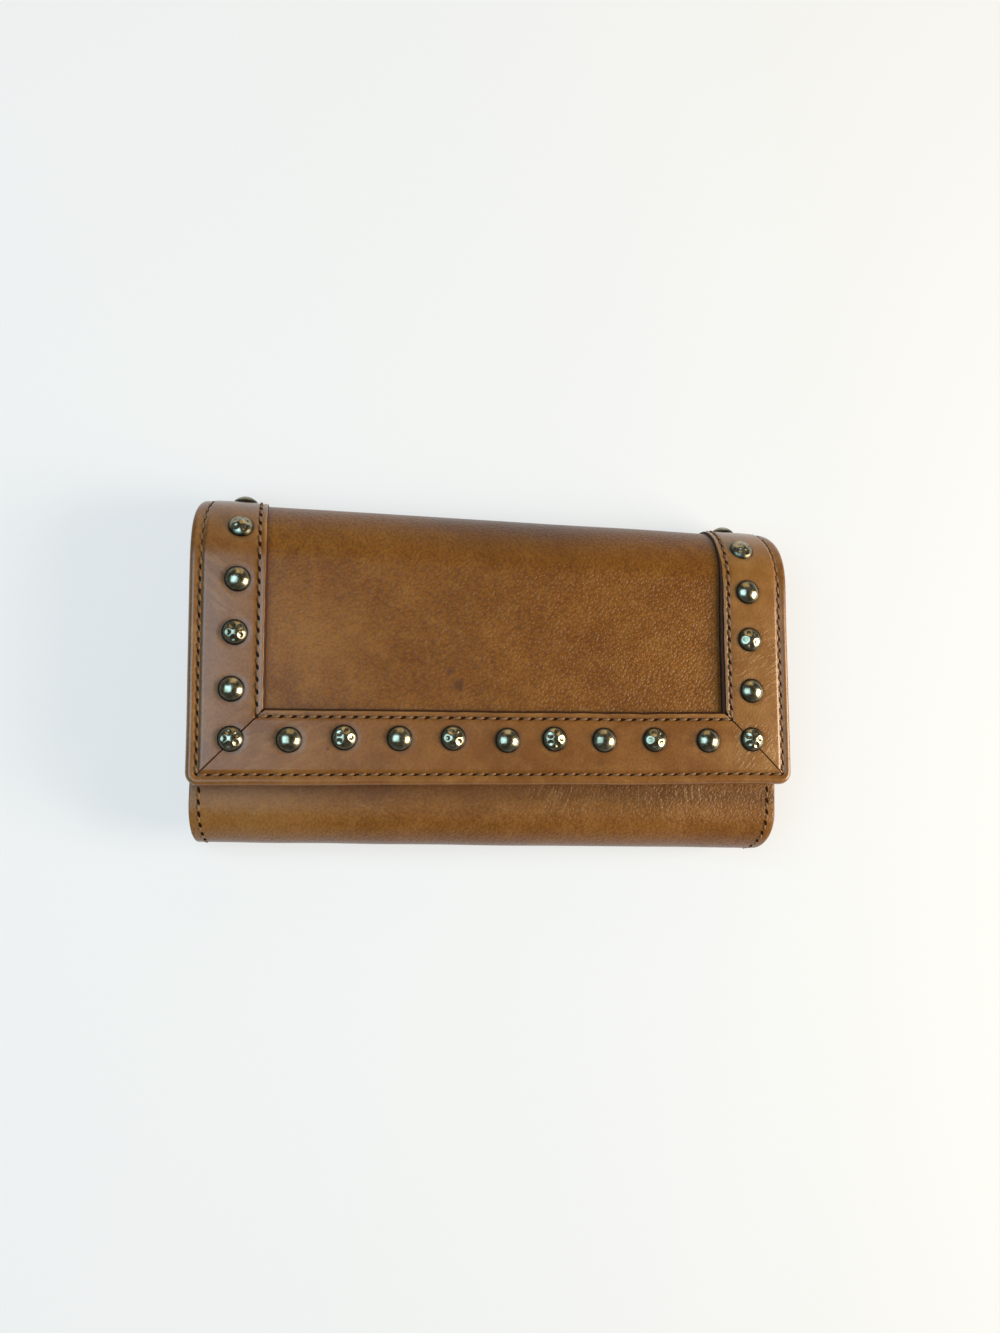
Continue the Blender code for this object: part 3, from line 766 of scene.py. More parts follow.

# lengths between the bends, each with its CAD nodes, its range along the hide, its two bodies, a bend span
# and a depth
slabs = [
    {
        "name": "flap",
        "nodes": ("flap", "upper_fold"),
        "range": (-1, foldStud),
        "bodies": ("upper_fold", "flap"),
        "bend": (foldStud - studs["clear"], foldStud - studPitch + studs["clear"]),
        "depth": 0,
    },
    {
        "name": "spine",
        "nodes": ("lower_fold",),
        "range": (foldStud, spineStud),
        "bodies": ("lower_fold", "upper_fold"),
        "bend": (spineStud - studs["clear"], foldStud + studs["clear"]),
        "depth": 0,
    },
    {
        "name": "back",
        "nodes": ("back",),
        "range": (spineStud, midBack),
        "bodies": ("back", "lower_fold"),
        "bend": (backAt, stripTail),
        "depth": 0,
    },
    {
        "name": "front",
        "nodes": ("front",),
        "range": (midBack, 1),
        "bodies": ("back", "front"),
        "bend": (bottomAt, frontAt),
        "depth": 2.6 * mm,
    },
]


def cutAtBends(piece, count):
    for slab in slabs[:count]:
        cutAcross(piece, (0, slab["range"][1], 0), (0, 1, 0))


def bendWith(piece, slab):
    start, end = (pointOn(at, lift=-slab["depth"]) for at in slab["bend"])
    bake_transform(piece)


def cornerNormals(mesh):
    flat = np.empty(len(mesh.loops) * 3, np.float32)
    mesh.corner_normals.foreach_get("vector", flat)
    return flat


def foldAndSplit(piece, parts):
    # folds a bench piece round the wallet, then separates it at the bends with its shading kept
    reshape(piece, foldRule)
    smoothed(piece)
    mesh = piece.data
    kept = mesh.attributes.new("kept", "FLOAT_VECTOR", "CORNER")
    kept.data.foreach_set("vector", cornerNormals(mesh))
    along = np.empty(len(mesh.vertices), np.float32)
    mesh.attributes["along"].data.foreach_get("value", along)
    made = {}
    for slab in slabs:
        if slab["name"] not in parts:
            continue
        part = copyOf(piece, parts[slab["name"]])
        low, high = slab["range"]
        edit(part, "FACE", faces=lambda centre, normal: False)
        done()
        for face in part.data.polygons:
            middle = sum(along[k] for k in face.vertices) / len(face.vertices)
            face.select = not low <= middle < high
        bpy.ops.object.mode_set(mode="EDIT")
        bpy.ops.mesh.delete(type="FACE")
        bpy.ops.mesh.select_mode(type="EDGE")
        bpy.ops.mesh.select_all(action="SELECT")
        bpy.ops.mesh.fill_holes(sides=0)
        done()
        normals = np.empty(len(part.data.loops) * 3, np.float32)
        part.data.attributes["kept"].data.foreach_get("vector", normals)
        part.data.attributes.remove(part.data.attributes["kept"])
        part.data.normals_split_custom_set(normals.reshape(-1, 3).tolist())
        bendWith(part, slab)
        made[slab["name"]] = part
    bpy.data.objects.remove(piece)
    return made


# hide and lining: under the turned edge on the flap, out to the cut edge on back and front

def edgeInset(along, onFlap, onBody):
    before, past = hide["rimEnd"]
    return onFlap + (onBody - onFlap) * smooth(stripTail - before, stripTail + past, along)


def makeLayer(name, top, bottom, low, high, inset, edge):
    piece = benchGrid(name, (-flapHalf, flapHalf), (low, high), hide["cell"])
    cutAtBends(piece, 3)
    thicken(piece, top, bottom)

    def cutEdges(a, b):  # along the sides and the far end, on both faces
        side = min(abs(a.x), abs(b.x)) > flapHalf - tiny
        return abs(a.z - b.z) < tiny and (side or min(a.y, b.y) > high - tiny)

    bevelled(piece, cutEdges, edge)
    reshape(piece, lambda x, y, z: (x * (halfWidth(y) - edgeInset(y, *inset)) / flapHalf, y, z))
    return piece


worn = {  # middle and reach of each patch: wear at the cut edges and the bottom fold, and painted sheen paler on the left of the front and the flap
    "edge": 1.6 * mm,
    "fold": 9 * mm,
    "frontSheenX": (-78 * mm, 30 * mm),
    "flapSheenX": (-58 * mm, 24 * mm),
    "flapSheenAlong": (44 * mm, 22 * mm),
}
# where the panel darkens: painted shade beside the strips' inner edges, a painted shadow under the closed
# flap's edge, darker round the middle of the bottom fold, and a dark patch below the crest
darkening = {
    "beside": 0.6 * mm,
    "below": 0.5 * mm,
    "under": (frontAt + flapLow.y - bottomTop - 2 * mm, 3.2 * mm),  # painted shadow just below the closed flap's edge
    "foot": 8 * mm,
    "topX": (10 * mm, 38 * mm),
    "topAlong": (crestAt - 8 * mm, 17 * mm),
}


def bodyWearAndSheen(x, along, lift):
    edge = np.exp((np.abs(x) - halfWidth(along)) / worn["edge"])
    folds = bell(along, midBottom, worn["fold"])
    # paler patches on the left of the front and the flap: painted sheen
    paintedLight = bell(x, *worn["frontSheenX"]) * smooth(bottomAt, frontAt, along)
    flapSheen = bell(x, *worn["flapSheenX"]) * bell(along, *worn["flapSheenAlong"])
    return np.clip(edge + 0.15 * folds + 0.8 * paintedLight + 0.7 * flapSheen, 0, 1.3)


def panelSoilAndShade(x, along, lift):
    # painted shade on the panel along the strips' inner edges
    beside = np.exp(-np.maximum(0, flapHalf - stripWide - np.abs(x)) / darkening["beside"])
    below = np.exp(-np.maximum(0, along - stripWide) / darkening["below"])
    seam = np.maximum(beside, below) * (along < stripTail)
    # painted shadow under the closed flap's edge
    under = bell(along, *darkening["under"])
    foot = bell(along, midBottom, darkening["foot"])
    top = bell(along, *darkening["topAlong"]) * bell(x, *darkening["topX"])
    return 1.1 * seam + 0.6 * under + 0.4 * foot + 0.92 * top


def eachSlab(ending):
    return {slab["name"]: slab["name"] + ending for slab in slabs}


piece = makeLayer("hide", 0, -hide["thick"], hide["rim"], hideLong, (hide["rim"], 0), hide["edge"])
mapBench(piece, bodyWearAndSheen, panelSoilAndShade)
finishOf(piece, hideLeather)
hideParts = foldAndSplit(piece, eachSlab("_hide"))
print("hide folded")

lining = {
    "top": -1.65 * mm,
    "thick": 0.8 * mm,
    "edge": 0.2 * mm,
    "startGap": 0.2 * mm,  # to the turned edge along the flap's bottom
    "sideGap": 0.1 * mm,  # and at its sides
    "inset": 1.2 * mm,  # from the cut edge on back and front
    "short": 1.5 * mm,  # of the hide's far end
    "narrower": 4 * mm,
}
piece = makeLayer(
    "lining",
    lining["top"],
    lining["top"] - lining["thick"],
    hide["rim"] + lining["startGap"],
    hideLong - lining["short"],
    (hide["rim"] + lining["sideGap"], lining["inset"]),
    lining["edge"],
)
mapBench(piece)
finishOf(piece, liningCloth)
liningParts = foldAndSplit(piece, eachSlab("_lining_cloth"))
for slab in slabs:
    leatherPart, clothPart = hideParts[slab["name"]], liningParts[slab["name"]]
    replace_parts(leatherPart, *(node + "_panel" for node in slab["nodes"]))
    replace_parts(clothPart, *(node + "_lining" for node in slab["nodes"]))
    wide, long = flapHalf + frontHalf, min(hideLong, slab["range"][1]) - max(0, slab["range"][0])
    wide - lining["narrower"]
print("lining laid in")


# strips and turned edge are pared thinner towards the top fold

skive = {"cut": 1.2 * mm, "from": 56 * mm, "to": 84 * mm}


def skived(along):
    return skive["cut"] * smooth(skive["from"], skive["to"], along)


def stripRule(x, along, lift):
    return foldRule(x, along, lift - skived(along))


# turned edge round the flap: a soft roll outside the stitches

rim = {
    "top": 1.75 * mm,
    "valley": 1.3 * mm,
    "shoulder": 0.1 * mm,  # where the roll starts
    "bottom": -2.45 * mm,
    "crown": 1.4 * mm,  # how far in the roll is highest
    "tuck": 0.5 * mm,  # how far it runs in over the hide
    "tuckLift": -0.3 * mm,
    "corner": 4 * mm,
    "tail": 4 * mm,
    "past": 1.5 * mm,  # how far it goes past the strips
    "step": 1.2 * mm,
    "wear": (0.4 * mm, 1.5 * mm),
    # down to this lift the roll's outer side is painted darker as shade
    "soil": -2 * mm,
}


def rimSection():  # (inset from the flap's edge, lift), outside first and round to the inside
    inner, top, low, crown, shoulder = hide["rim"], rim["top"], rim["bottom"], rim["crown"], rim["shoulder"]
    wide = inner + rim["tuck"]
    points = [(0.35 * mm, low), (0.05 * mm, low + 0.4 * mm), (0, low + 1.2 * mm), (0, shoulder)]
    for k in range(1, 7):
        angle = math.pi / 2 * k / 6
        points.append((crown * (1 - math.cos(angle)), shoulder + (top - shoulder) * math.sin(angle)))
    for k in range(1, 6):
        fall = 0.5 - 0.5 * math.cos(math.pi * k / 5)
        points.append((crown + (wide - crown) * k / 5, top - (top - rim["valley"]) * fall))
    points += [(wide, rim["tuckLift"]), (inner, rim["tuckLift"])]
    return points + [(inner, low + 0.2 * mm), (inner - 0.3 * mm, low)]


def makeRim():
    radius, end = rim["corner"], stripTail + rim["past"]
    rise, arc, run = end - radius, math.pi / 2 * radius, 2 * (flapHalf - radius)
    total = 2 * rise + 2 * arc + run
    around = np.array(rimSection())
    piece = benchGrid("rim", (0, len(around)), (0, total), 1, rim["step"])

    def rule(x, s, z):
        turn = np.rint(x).astype(int) % len(around)
        inset, lift = around[turn, 0], around[turn, 1]
        half = np.minimum(s, total - s)  # the right half mirrors the left
        low = np.clip((half - rise) / radius, 0, math.pi / 2)
        onArc, onRun = half > rise, half > rise + arc
        outX = np.where(onArc, -flapHalf + radius - (radius - inset) * np.cos(low), inset - flapHalf)
        outY = np.where(onArc, radius - (radius - inset) * np.sin(low), end - half)
        outX = np.where(onRun, half - rise - arc - flapHalf + radius, outX)
        outY = np.where(onRun, inset, outY)
        fade = smooth(0, rim["tail"], half)  # the roll sinks into the hide at its two ends
        lift = np.where(lift > 0, lift * fade * (1 - skived(outY) / rim["top"]), lift)
        return np.where(s > total / 2, -outX, outX), outY, lift

    reshape(piece, rule)
    edit(piece)
    bpy.ops.mesh.remove_doubles(threshold=tiny)
    bpy.ops.mesh.normals_make_consistent(inside=False)
    done()
    cutAtBends(piece, 2)
    return piece


piece = makeRim()
mapBench(
    piece,
    lambda x, y, z: 0.35 * smooth(*rim["wear"], z),
    # darker down the roll's outer side: painted shade
    lambda x, y, z: 0.5 * smooth(0, rim["soil"], z),
)
finishOf(piece, rimLeather)
rimParts = {"flap": "flap_turned_edge", "spine": "spine_turned_edge", "back": "turned_edge_tails"}
foldAndSplit(piece, rimParts)
print("edge turned")


# applied strips: domed, rounded outside, sewn along both sides, cut square and painted inside

strip = {
    "width": stripWide,
    "start": 2.8 * mm,
    "top": 2.05 * mm,
    "seat": 0.1 * mm,
    "dome": 0.15 * mm,
    "drop": 0.62 * mm,
    "rise": (3.4 * mm, 4.5 * mm),  # from the sewn valley up to the strip's top
    "mitreGap": 0.13 * mm,
    "mitreTrim": 0.09 * mm,
    "lean": {-1: 0.35 * mm, 0: 0.35 * mm, 1: 0.6 * mm},  # how far each cut edge slopes
    "leanReach": 1.2 * mm,
    "ragged": 0.13 * mm,  # how far the cut edge strays
    "raggedSize": 3 * mm,
    "edge": 0.22 * mm,
    "steep": 0.62,  # faces that rise more than this show the edge paint
    "grooves": (3.2 * mm, 20.35 * mm),
    "grooveDepth": (0.1 * mm, 0.24 * mm),
    "groove": (0.35 * mm, 1.0 * mm),  # half widths of its floor and its mouth
    "grooveDark": 0.55 * mm,
    "dish": 0.1 * mm,  # how far each stud presses the leather down
    "dishReach": 1.3 * mm,
    "wornEdge": 0.8 * mm,
    # across this span the strips turn paler towards the right: painted light
    "paintedLight": (52 * mm, 84 * mm),
    "cell": 0.52 * mm,
}


def stripTop(inset):
    start, stop = strip["start"], strip["width"]
    dome = strip["dome"] * np.sin(math.pi * np.clip((inset - start) / (stop - start), 0, 1))
    lift = dome - strip["drop"] * (1 - smooth(*strip["rise"], inset))
    for groove, depth in zip(strip["grooves"], strip["grooveDepth"]):
        lift = lift - depth * (1 - smooth(*strip["groove"], np.abs(inset - groove)))
    return lift


def pressed(x, along):
    depth = np.zeros(x.shape)
    for at, spotX, k in studSpots:
        off = np.hypot(x - spotX, along - at) - studs["radius"]
        depth = np.maximum(depth, strip["dish"] * (1 - smooth(0, strip["dishReach"], off)))
    return depth


def cutEdge(a, b):  # along the inside, the tail or a mitre
    inner, near, shortest, offTurn = flapHalf - strip["width"], 0.4 * mm, 0.2 * mm, 0.05 * mm
    mitre = all(abs(flapHalf - abs(end.x) - end.y) < near for end in (a, b))
    mitre = mitre and (a - b).length > shortest and abs(abs(a.x - b.x) - abs(a.y - b.y)) < offTurn
    side = all(abs(abs(end.x) - inner) < tiny for end in (a, b))
    level = abs(a.y - b.y) < tiny
    return side or mitre or (level and min(abs(a.y - strip["width"]), abs(a.y - stripTail)) < tiny)


def makeStrip(name, side):  # side -1 left, 1 right, 0 along the bottom
    start, width, middle, gap = strip["start"], strip["width"], strip["width"] / 2, strip["mitreGap"]
    if side:
        ends = sorted((side * (flapHalf - width), side * (flapHalf - start)))
        piece = benchGrid(name, ends, (start, stripTail), strip["cell"])
        cutAcross(piece, (side * (flapHalf - middle), middle + gap, 0), (-side, -1, 0), True)
        cutAtBends(piece, 2)
    else:
        piece = benchGrid(name, (start - flapHalf, flapHalf - start), (start, width), strip["cell"])
        corner = flapHalf - middle - strip["mitreTrim"]
        for end in (1, -1):
            cutAcross(piece, (end * corner, middle - gap, 0), (end, 1, 0), True)
    thicken(piece, strip["top"], strip["seat"])
    bevelled(piece, lambda a, b: min(a.z, b.z) > strip["top"] - tiny and cutEdge(a, b), strip["edge"])

    def insetOf(x, y):
        return flapHalf - np.abs(x) if side else y

    def rule(x, y, z):
        inset = insetOf(x, y)
        share = (z - strip["seat"]) / (strip["top"] - strip["seat"])
        lean = strip["lean"][side] * (1 - 2 * share) * (1 - skived(y) / strip["top"])
        lean = lean + strip["ragged"] * ripple(x, y, strip["raggedSize"], 2.5 + side)
        lean = lean * smooth(width - strip["leanReach"], width, inset)
        lift = z + share * (stripTop(inset) - pressed(x, y) - skived(y))
        if side:
            return x - side * lean, y, lift
        return x, y + lean, lift

    def wear(x, y, z):
        # paler at the cut edge from wear, and paler towards the right from painted light
        return np.exp((insetOf(x, y) - width) / strip["wornEdge"]) + 0.55 * smooth(*strip["paintedLight"], x)

    def soilAndShade(x, y, z):
        # painted shade in the pressed leather round each stud, and darker along the sewn grooves
        sewn = sum(bell(insetOf(x, y), groove, strip["grooveDark"]) for groove in strip["grooves"])
        return 0.65 * (pressed(x, y) / strip["dish"]) ** 3 + 0.3 * sewn

    reshape(piece, rule)
    mapBench(piece, wear, soilAndShade)
    finishOf(piece, stripLeather, edgePaint)
    for face in piece.data.polygons:  # the cut edge takes the edge paint
        face.material_index = 1 if abs(face.normal.z) < strip["steep"] else 0
    return piece


for side, word in ((-1, "left"), (1, "right"), (0, "bottom")):
    ends = {"flap": "flap", "spine": "spine", "back": "tail"} if side else {"flap": "flap"}
    parts = {slab: f"{word}_strip_{end}" for slab, end in ends.items()}
    made = foldAndSplit(makeStrip(word, side), parts)
    if side:
        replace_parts(made["flap"], word + "_strip", word + "_strip_upper_fold")
        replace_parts(made["spine"], word + "_strip_lower_fold")
    else:
        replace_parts(made["flap"], "bottom_strip")
print("strips laid on")


# studs: a domed nailhead, plain or pressed with a ring of dimples

hammer = {
    "dimples": 5,
    "ring": 2.0 * mm,
    "radius": 1.3 * mm,
    "depth": 0.36 * mm,
    "above": 0.1 * mm,  # the rim below this stays round
    "turn": math.radians(37),
}


def makeHead(name):
    ball = (studs["radius"] ** 2 + studs["height"] ** 2) / (2 * studs["height"])
    middle = (0, 0, studs["rim"] + studs["height"] - ball)
    fresh()
    bpy.ops.mesh.primitive_uv_sphere_add(segments=56, ring_count=72, radius=ball, location=middle)
    head = named(applied(), name)
    cutAcross(head, (0, 0, studs["rim"]), (0, 0, -1), True)
    edit(head, edges=lambda a, b: max(a.z, b.z) < studs["rim"] + tiny)
    bpy.ops.mesh.extrude_region_move(TRANSFORM_OT_translate={"value": (0, 0, -studs["rim"])})
    bpy.ops.mesh.edge_face_add()
    bpy.ops.mesh.select_all(action="SELECT")
    bpy.ops.mesh.normals_make_consistent(inside=False)
    done()

    def shoulder(a, b):  # where the dome meets the rim
        return all(abs(end.z - studs["rim"]) < tiny for end in (a, b))

    return bevelled(head, shoulder, studs["rimEdge"], 2)


def hammerRule(x, y, z):
    depth = np.zeros(x.shape)
    for k in range(hammer["dimples"]):
        angle = 2 * math.pi * k / hammer["dimples"]
        off = np.hypot(x - hammer["ring"] * math.cos(angle), y - hammer["ring"] * math.sin(angle))
        share = np.clip(off / (hammer["radius"] * (1 + 0.1 * math.sin(3 * angle + k))), 0, 1)
        depth = np.maximum(depth, hammer["depth"] * (0.5 + 0.5 * np.cos(math.pi * share)))
    return x, y, z - np.where(z > studs["rim"] + hammer["above"], depth, 0)


heads = {"plain": makeHead("plain_head"), "hammered": makeHead("hammered_head")}
reshape(heads["hammered"], hammerRule)
for head in heads.values():
    # each head darker at its foot: dirt, and painted shade where it meets the leather
    height = pointsOf(head.data)[2] - studs["rim"]
    addNumbers(head, "soilAndShade", 0.95 * (1 - smooth(*studs["soil"], height)))

made = dict.fromkeys(heads, 0)
for along, x, k in studSpots:
    word = "plain" if k % 2 else "hammered"
    made[word] += 1
    x, y, z = (float(v[0]) for v in stripRule(*(np.array([v]) for v in (x, along, studs["seat"]))))
    outY, outZ = (float(v) for v in onHide(along)[2:])
    stand = Matrix(((1, 0, 0, x), (0, outZ, outY, y), (0, -outY, outZ, z), (0, 0, 0, 1)))
    turn = Matrix.Rotation(made[word] * hammer["turn"], 4, "Z")
    head = copyOf(heads[word], f"{word}_head_{made[word]:02d}", stand @ turn)
    standFor(head, f"{word}_stud_{made[word]:02d}", studBronze, "stud_bronze", 50)
for head in heads.values():
    bpy.data.objects.remove(head)
print("studs set:", made)


# stitches: a short arched thread between two slanted needle holes, each hole a near-black disc of painted
# shade

stitch = {
    "pitch": 3.6 * mm,
    "long": 2.5 * mm,
    "radius": 0.42 * mm,
    "arch": 0.26 * mm,
    "dive": 0.5 * mm,  # how far an end goes down
    "thin": 0.45,  # and how much thinner it gets
    "slant": math.radians(10),
}
hole = {
    "long": 2.05 * mm,
    "wide": 0.9 * mm,
    "rim": 0.2 * mm,
    "depth": 0.02 * mm,
    "lift": 0.09 * mm,
    "slant": math.radians(16),
}


def makeThread():
    fresh()
    bpy.ops.mesh.primitive_cylinder_add(
        vertices=7, radius=stitch["radius"], depth=stitch["long"], rotation=(0, math.pi / 2, 0)
    )
    piece = applied()
    for k in range(1, 6):
        cutAcross(piece, ((k / 6 - 0.5) * stitch["long"], 0, 0), (1, 0, 0))

    def rule(x, y, z):  # fullest just before the next hole
        share = np.clip(np.abs(2 * x / stitch["long"] - 0.2) / 1.1, 0, 1)
        thin = 1 - stitch["thin"] * share**3
        return x, y * thin, z * thin + stitch["arch"] - stitch["dive"] * share**2

    reshape(piece, rule)
    return smoothed(finishOf(piece, thread), 60)


def makeHole():
    fresh()
    bpy.ops.mesh.primitive_circle_add(vertices=10, radius=1, fill_type="NGON")
    piece = applied((hole["long"] / 2, hole["wide"] / 2, 1))
    edit(piece, "FACE", faces=lambda centre, normal: True)
    bpy.ops.mesh.inset(thickness=hole["rim"], depth=-hole["depth"])
    done()
    return finishOf(piece, holeShade)


oneThread, oneHole = makeThread(), makeHole()


def sewn(name, model, places, attach, rule, under):  # copies of one stitch, joined along a seam
    flip = Matrix.Rotation(math.pi if under else 0, 4, "X")
    copies = []
    for x, y, lift, turn in places:
        stand = Matrix.Translation((x, y, lift)) @ Matrix.Rotation(turn, 4, "Z") @ flip
        copies.append(copyOf(model, name, stand))
    piece = joined(copies, name)
    reshape(piece, rule)
    if isinstance(attach, str):
        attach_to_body(piece, attach)
    else:
        bendWith(piece, attach)


def alongLine(start, end, lift):  # stitches from start to end: place, lift and heading
    start, end = Vector(start), Vector(end)
    count = max(1, round((end - start).length / stitch["pitch"]))
    heading = math.atan2(end.y - start.y, end.x - start.x)
    return [(*start.lerp(end, (k + 0.5) / count), lift, heading) for k in range(count)]


def sewRow(name, places, attach, rule=foldRule, under=False, sink=0.0):  # threads, with near-black discs of painted shade for the needle holes between
    half, up = stitch["pitch"] / 2, -1 if under else 1
    threads, holes = [], []
    for x, y, lift, turn in places:
        threads.append((x, y, lift - up * sink, turn + stitch["slant"]))
        x, y = x + half * math.cos(turn), y + half * math.sin(turn)
        holes.append((x, y, lift + up * hole["lift"], turn + hole["slant"]))
    sewn(name + "_thread", oneThread, threads, attach, rule, under)
    sewn(name + "_holes", oneHole, holes, attach, rule, under)


def sewHide(name, places, rule=foldRule, sink=0.0):  # a seam along the hide, parted at the bends
    for slab in slabs:
        low, high = slab["range"]
        here = [place for place in places if low <= place[1] < high]
        if here:
            sewRow(f"{name}_{slab['name']}", here, slab, rule, sink=sink)


def frameLine(inset):  # down the left strip, along the bottom and up the right
    lift = strip["top"] + float(stripTop(np.array(inset)))
    left, right, top = inset - flapHalf, flapHalf - inset, stripTail - mm
    corners = [(left, top), (left, inset), (right, inset), (right, top)]
    return [place for ends in zip(corners, corners[1:]) for place in alongLine(*ends, lift)]


for word, inset in zip(("outer_seam", "inner_seam"), strip["grooves"]):
    sewHide(word, frameLine(inset), stripRule)
print("flap sewn")

bodySeam = {
    "inset": 2.8 * mm,
    "start": stripTail + 3 * mm,
    "stop": hideLong - 2.5 * mm,
    "lift": -0.02 * mm,
    "sink": 0.33 * mm,
}
count = round((bodySeam["stop"] - bodySeam["start"]) / stitch["pitch"])
places = []
for side in (-1, 1):
    for k in range(count):
        along = bodySeam["start"] + (k + 0.5) * (bodySeam["stop"] - bodySeam["start"]) / count
        x = side * (float(halfWidth(along)) - bodySeam["inset"])
        places.append((x, along, bodySeam["lift"], math.pi / 2))
mouth = frontHalf - bodySeam["inset"]
places += alongLine((-mouth, bodySeam["stop"]), (mouth, bodySeam["stop"]), bodySeam["lift"])
sewHide("body_seam", places, sink=bodySeam["sink"])
print("body sewn")


# inside the flap: three stepped card pockets, each hemmed at its mouth and sewn at the sides and middle

card = {
    "edge": 0.18 * mm,
    "cell": 2.2 * mm,
    "worn": 1.2 * mm,
    "hem": 1.6 * mm,
    "side": 2 * mm,
    "step": 12 * mm,  # how far each mouth stands below the next
}
for k in (1, 2, 3):
    node = f"card_pocket_{k}"
    low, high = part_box(node)
    start, stop, under = low.y - flapLow.y, high.y - flapLow.y, low.z - flapFace
    piece = leaf(f"card_leaf_{k}", (low.x, high.x), (start, stop), high.z - flapFace, under, card)
    mapBench(piece, lambda x, y, z: np.exp(-(y - start) / card["worn"]))
    reshape(piece, foldRule)
    standFor(piece, node, innerLeather, "inner_leather")
    left, right, hem = low.x + card["side"], high.x - card["side"], start + card["hem"]
    places = alongLine((left, hem), (right, hem), under)
    end = start + card["step"] - card["hem"] if k < 3 else stop - card["side"]
    for x in (left, 0, right):
        places += alongLine((x, start + 2.6 * card["hem"]), (x, end), under)
    sewRow(f"card_seam_{k}", places, "flap", under=True)
print("card pockets sewn in")


# side gussets: a sheet folded in between front and back

gusset = {
    "thick": 0.8 * mm,
    "flange": 5 * mm,
    "soft": 0.02,  # how round the crease is
    "quarter": 10 * mm,  # flat width of a flange or of half the fold
    "press": 0.4 * mm,  # how far the flanges sink into the linings
    "end": 0.5 * mm,
    "rows": 1.4 * mm,
    "gather": 1.4,  # draws the rows together at the lower end
    "sag": 0.25 * mm,
    "sagSize": 18 * mm,
}


def makeGusset(word, side):
    low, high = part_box(word + "_gusset")
    edge, crease = max(abs(low.x), abs(high.x)), min(abs(low.x), abs(high.x))
    knee, half, soft = edge - gusset["flange"], gusset["thick"] / 2, gusset["soft"]
    reach = (high.z - low.z) / 2 + gusset["press"]
    # it starts where the bottom fold closes on it
    start = bottomTop - math.sqrt(reach**2 - (half + gusset["end"]) ** 2)
    long = high.y - start
    piece = benchGrid(word + "_gusset_fold", (0, 4 * gusset["quarter"]), (start, high.y), mm, gusset["rows"])

    def rule(x, y, z):
        u = x / gusset["quarter"]  # 0 to 4: flange, down to the crease, back up, flange
        y = start + long * ((y - start) / long) ** gusset["gather"]
        depth = np.sqrt(reach**2 - np.maximum(0, bottomTop - y) ** 2) - half
        fold = np.clip(2 - u, -1, 1)
        inward = (knee - crease - half) * depth / reach * (1 - np.sqrt(fold**2 * (1 - soft) + soft))
        flange = np.clip(np.abs(u - 2) - 1, 0, 1) * (edge - knee)
        sag = gusset["sag"] * ripple(x / 7, y, gusset["sagSize"], 4.0 + side)
        return side * (knee - inward + flange + sag), y, bottomRadius + fold * depth

    mapBench(piece)
    reshape(piece, rule)
    withModifier(piece, "SOLIDIFY", thickness=gusset["thick"], offset=0)
    faceOut(piece)
    finishOf(smoothed(piece, 50), innerLeather)
    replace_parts(piece, word + "_gusset")
    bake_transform(piece)


makeGusset("left", -1)
makeGusset("right", 1)
print("gussets folded in")


# coin pocket: two leather walls sewn together under the zip

coin = {"wall": 0.8 * mm, "round": 1.1 * mm, "edge": 0.15 * mm, "cell": 2.4 * mm, "seam": 2.2 * mm}
low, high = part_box("coin_pocket_back")
piece = leaf("coin_wall_back", (low.x, high.x), (low.y, high.y), high.z, low.z, coin)
mapBench(piece)
standFor(piece, "coin_pocket_back", innerLeather, "inner_leather")

wallLow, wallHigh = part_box("coin_pocket_front")
fresh()
bpy.ops.mesh.primitive_cube_add(size=1, location=(wallLow + wallHigh) / 2)
piece = named(applied(wallHigh - wallLow), "coin_wall_front")
edit(piece, "FACE", faces=lambda centre, normal: normal.y > 0.9 or normal.z < -0.9)
bpy.ops.mesh.delete(type="FACE")
done()


def trayEdge(a, b):  # round the front face, but not at the mouth
    return min(a.z, b.z) > wallHigh.z - tiny and min(a.y, b.y) < wallHigh.y - tiny


bevelled(piece, trayEdge, coin["round"], 4)
withModifier(piece, "SOLIDIFY", thickness=coin["wall"], offset=-1, use_even_offset=True)
withModifier(piece, "BEVEL", width=coin["edge"], segments=2, limit_method="ANGLE")
faceOut(piece)
mapBench(piece)
standFor(piece, "coin_pocket_front", innerLeather, "inner_leather")


def onWall(x, y, lift):
    return x, y, wallHigh.z + lift


left, right, top, seam = wallLow.x + coin["seam"], wallHigh.x - coin["seam"], wallHigh.y, coin["seam"]
places = alongLine((left, top - seam), (right, top - seam), 0)
for x in (left, right):
    places += alongLine((x, top - 2 * seam), (x, wallLow.y + 2 * seam), 0)
sewRow("coin_seam", places, "coin_pocket", onWall)

tape = {"cell": 0.6 * mm, "rows": 0.5 * mm, "edge": 0.1 * mm}
for word in ("back", "front"):
    low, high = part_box("zip_tape_" + word)
    piece = leaf("woven_tape_" + word, (low.x, high.x), (low.z, high.z), high.y, low.y, tape)
    mapBench(piece)
    reshape(piece, lambda x, y, z: (x, z, y))
    faceOut(piece)
    standFor(piece, "zip_tape_" + word, tapeCloth, "zip_tape")

tooth = {"pitch": 3 * mm, "wide": 1.45 * mm, "high": 1.7 * mm, "past": 0.45 * mm, "edge": 0.3 * mm}
low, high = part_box("zip_chain")
reach, middle = (high.z - low.z) / 2, (low.z + high.z) / 2
fresh()
bpy.ops.mesh.primitive_cube_add(size=1)
model = applied((tooth["wide"], tooth["high"], reach + tooth["past"]))
bevelled(model, lambda a, b: True, tooth["edge"], 2)
number = int((high.x - low.x) / tooth["pitch"]) - 1
copies = []
for side in (-1, 1):
    for k in range(number):
        x = (k - (number - 1) / 2 + side / 4) * tooth["pitch"]
        spot = (x, high.y - tooth["high"] / 2, middle + side * (reach - tooth["past"]) / 2)
        copies.append(copyOf(model, "zip_teeth", Matrix.Translation(spot)))
bpy.data.objects.remove(model)
standFor(joined(copies, "zip_teeth"), "zip_chain", zipBrass, "zip_brass", 50)

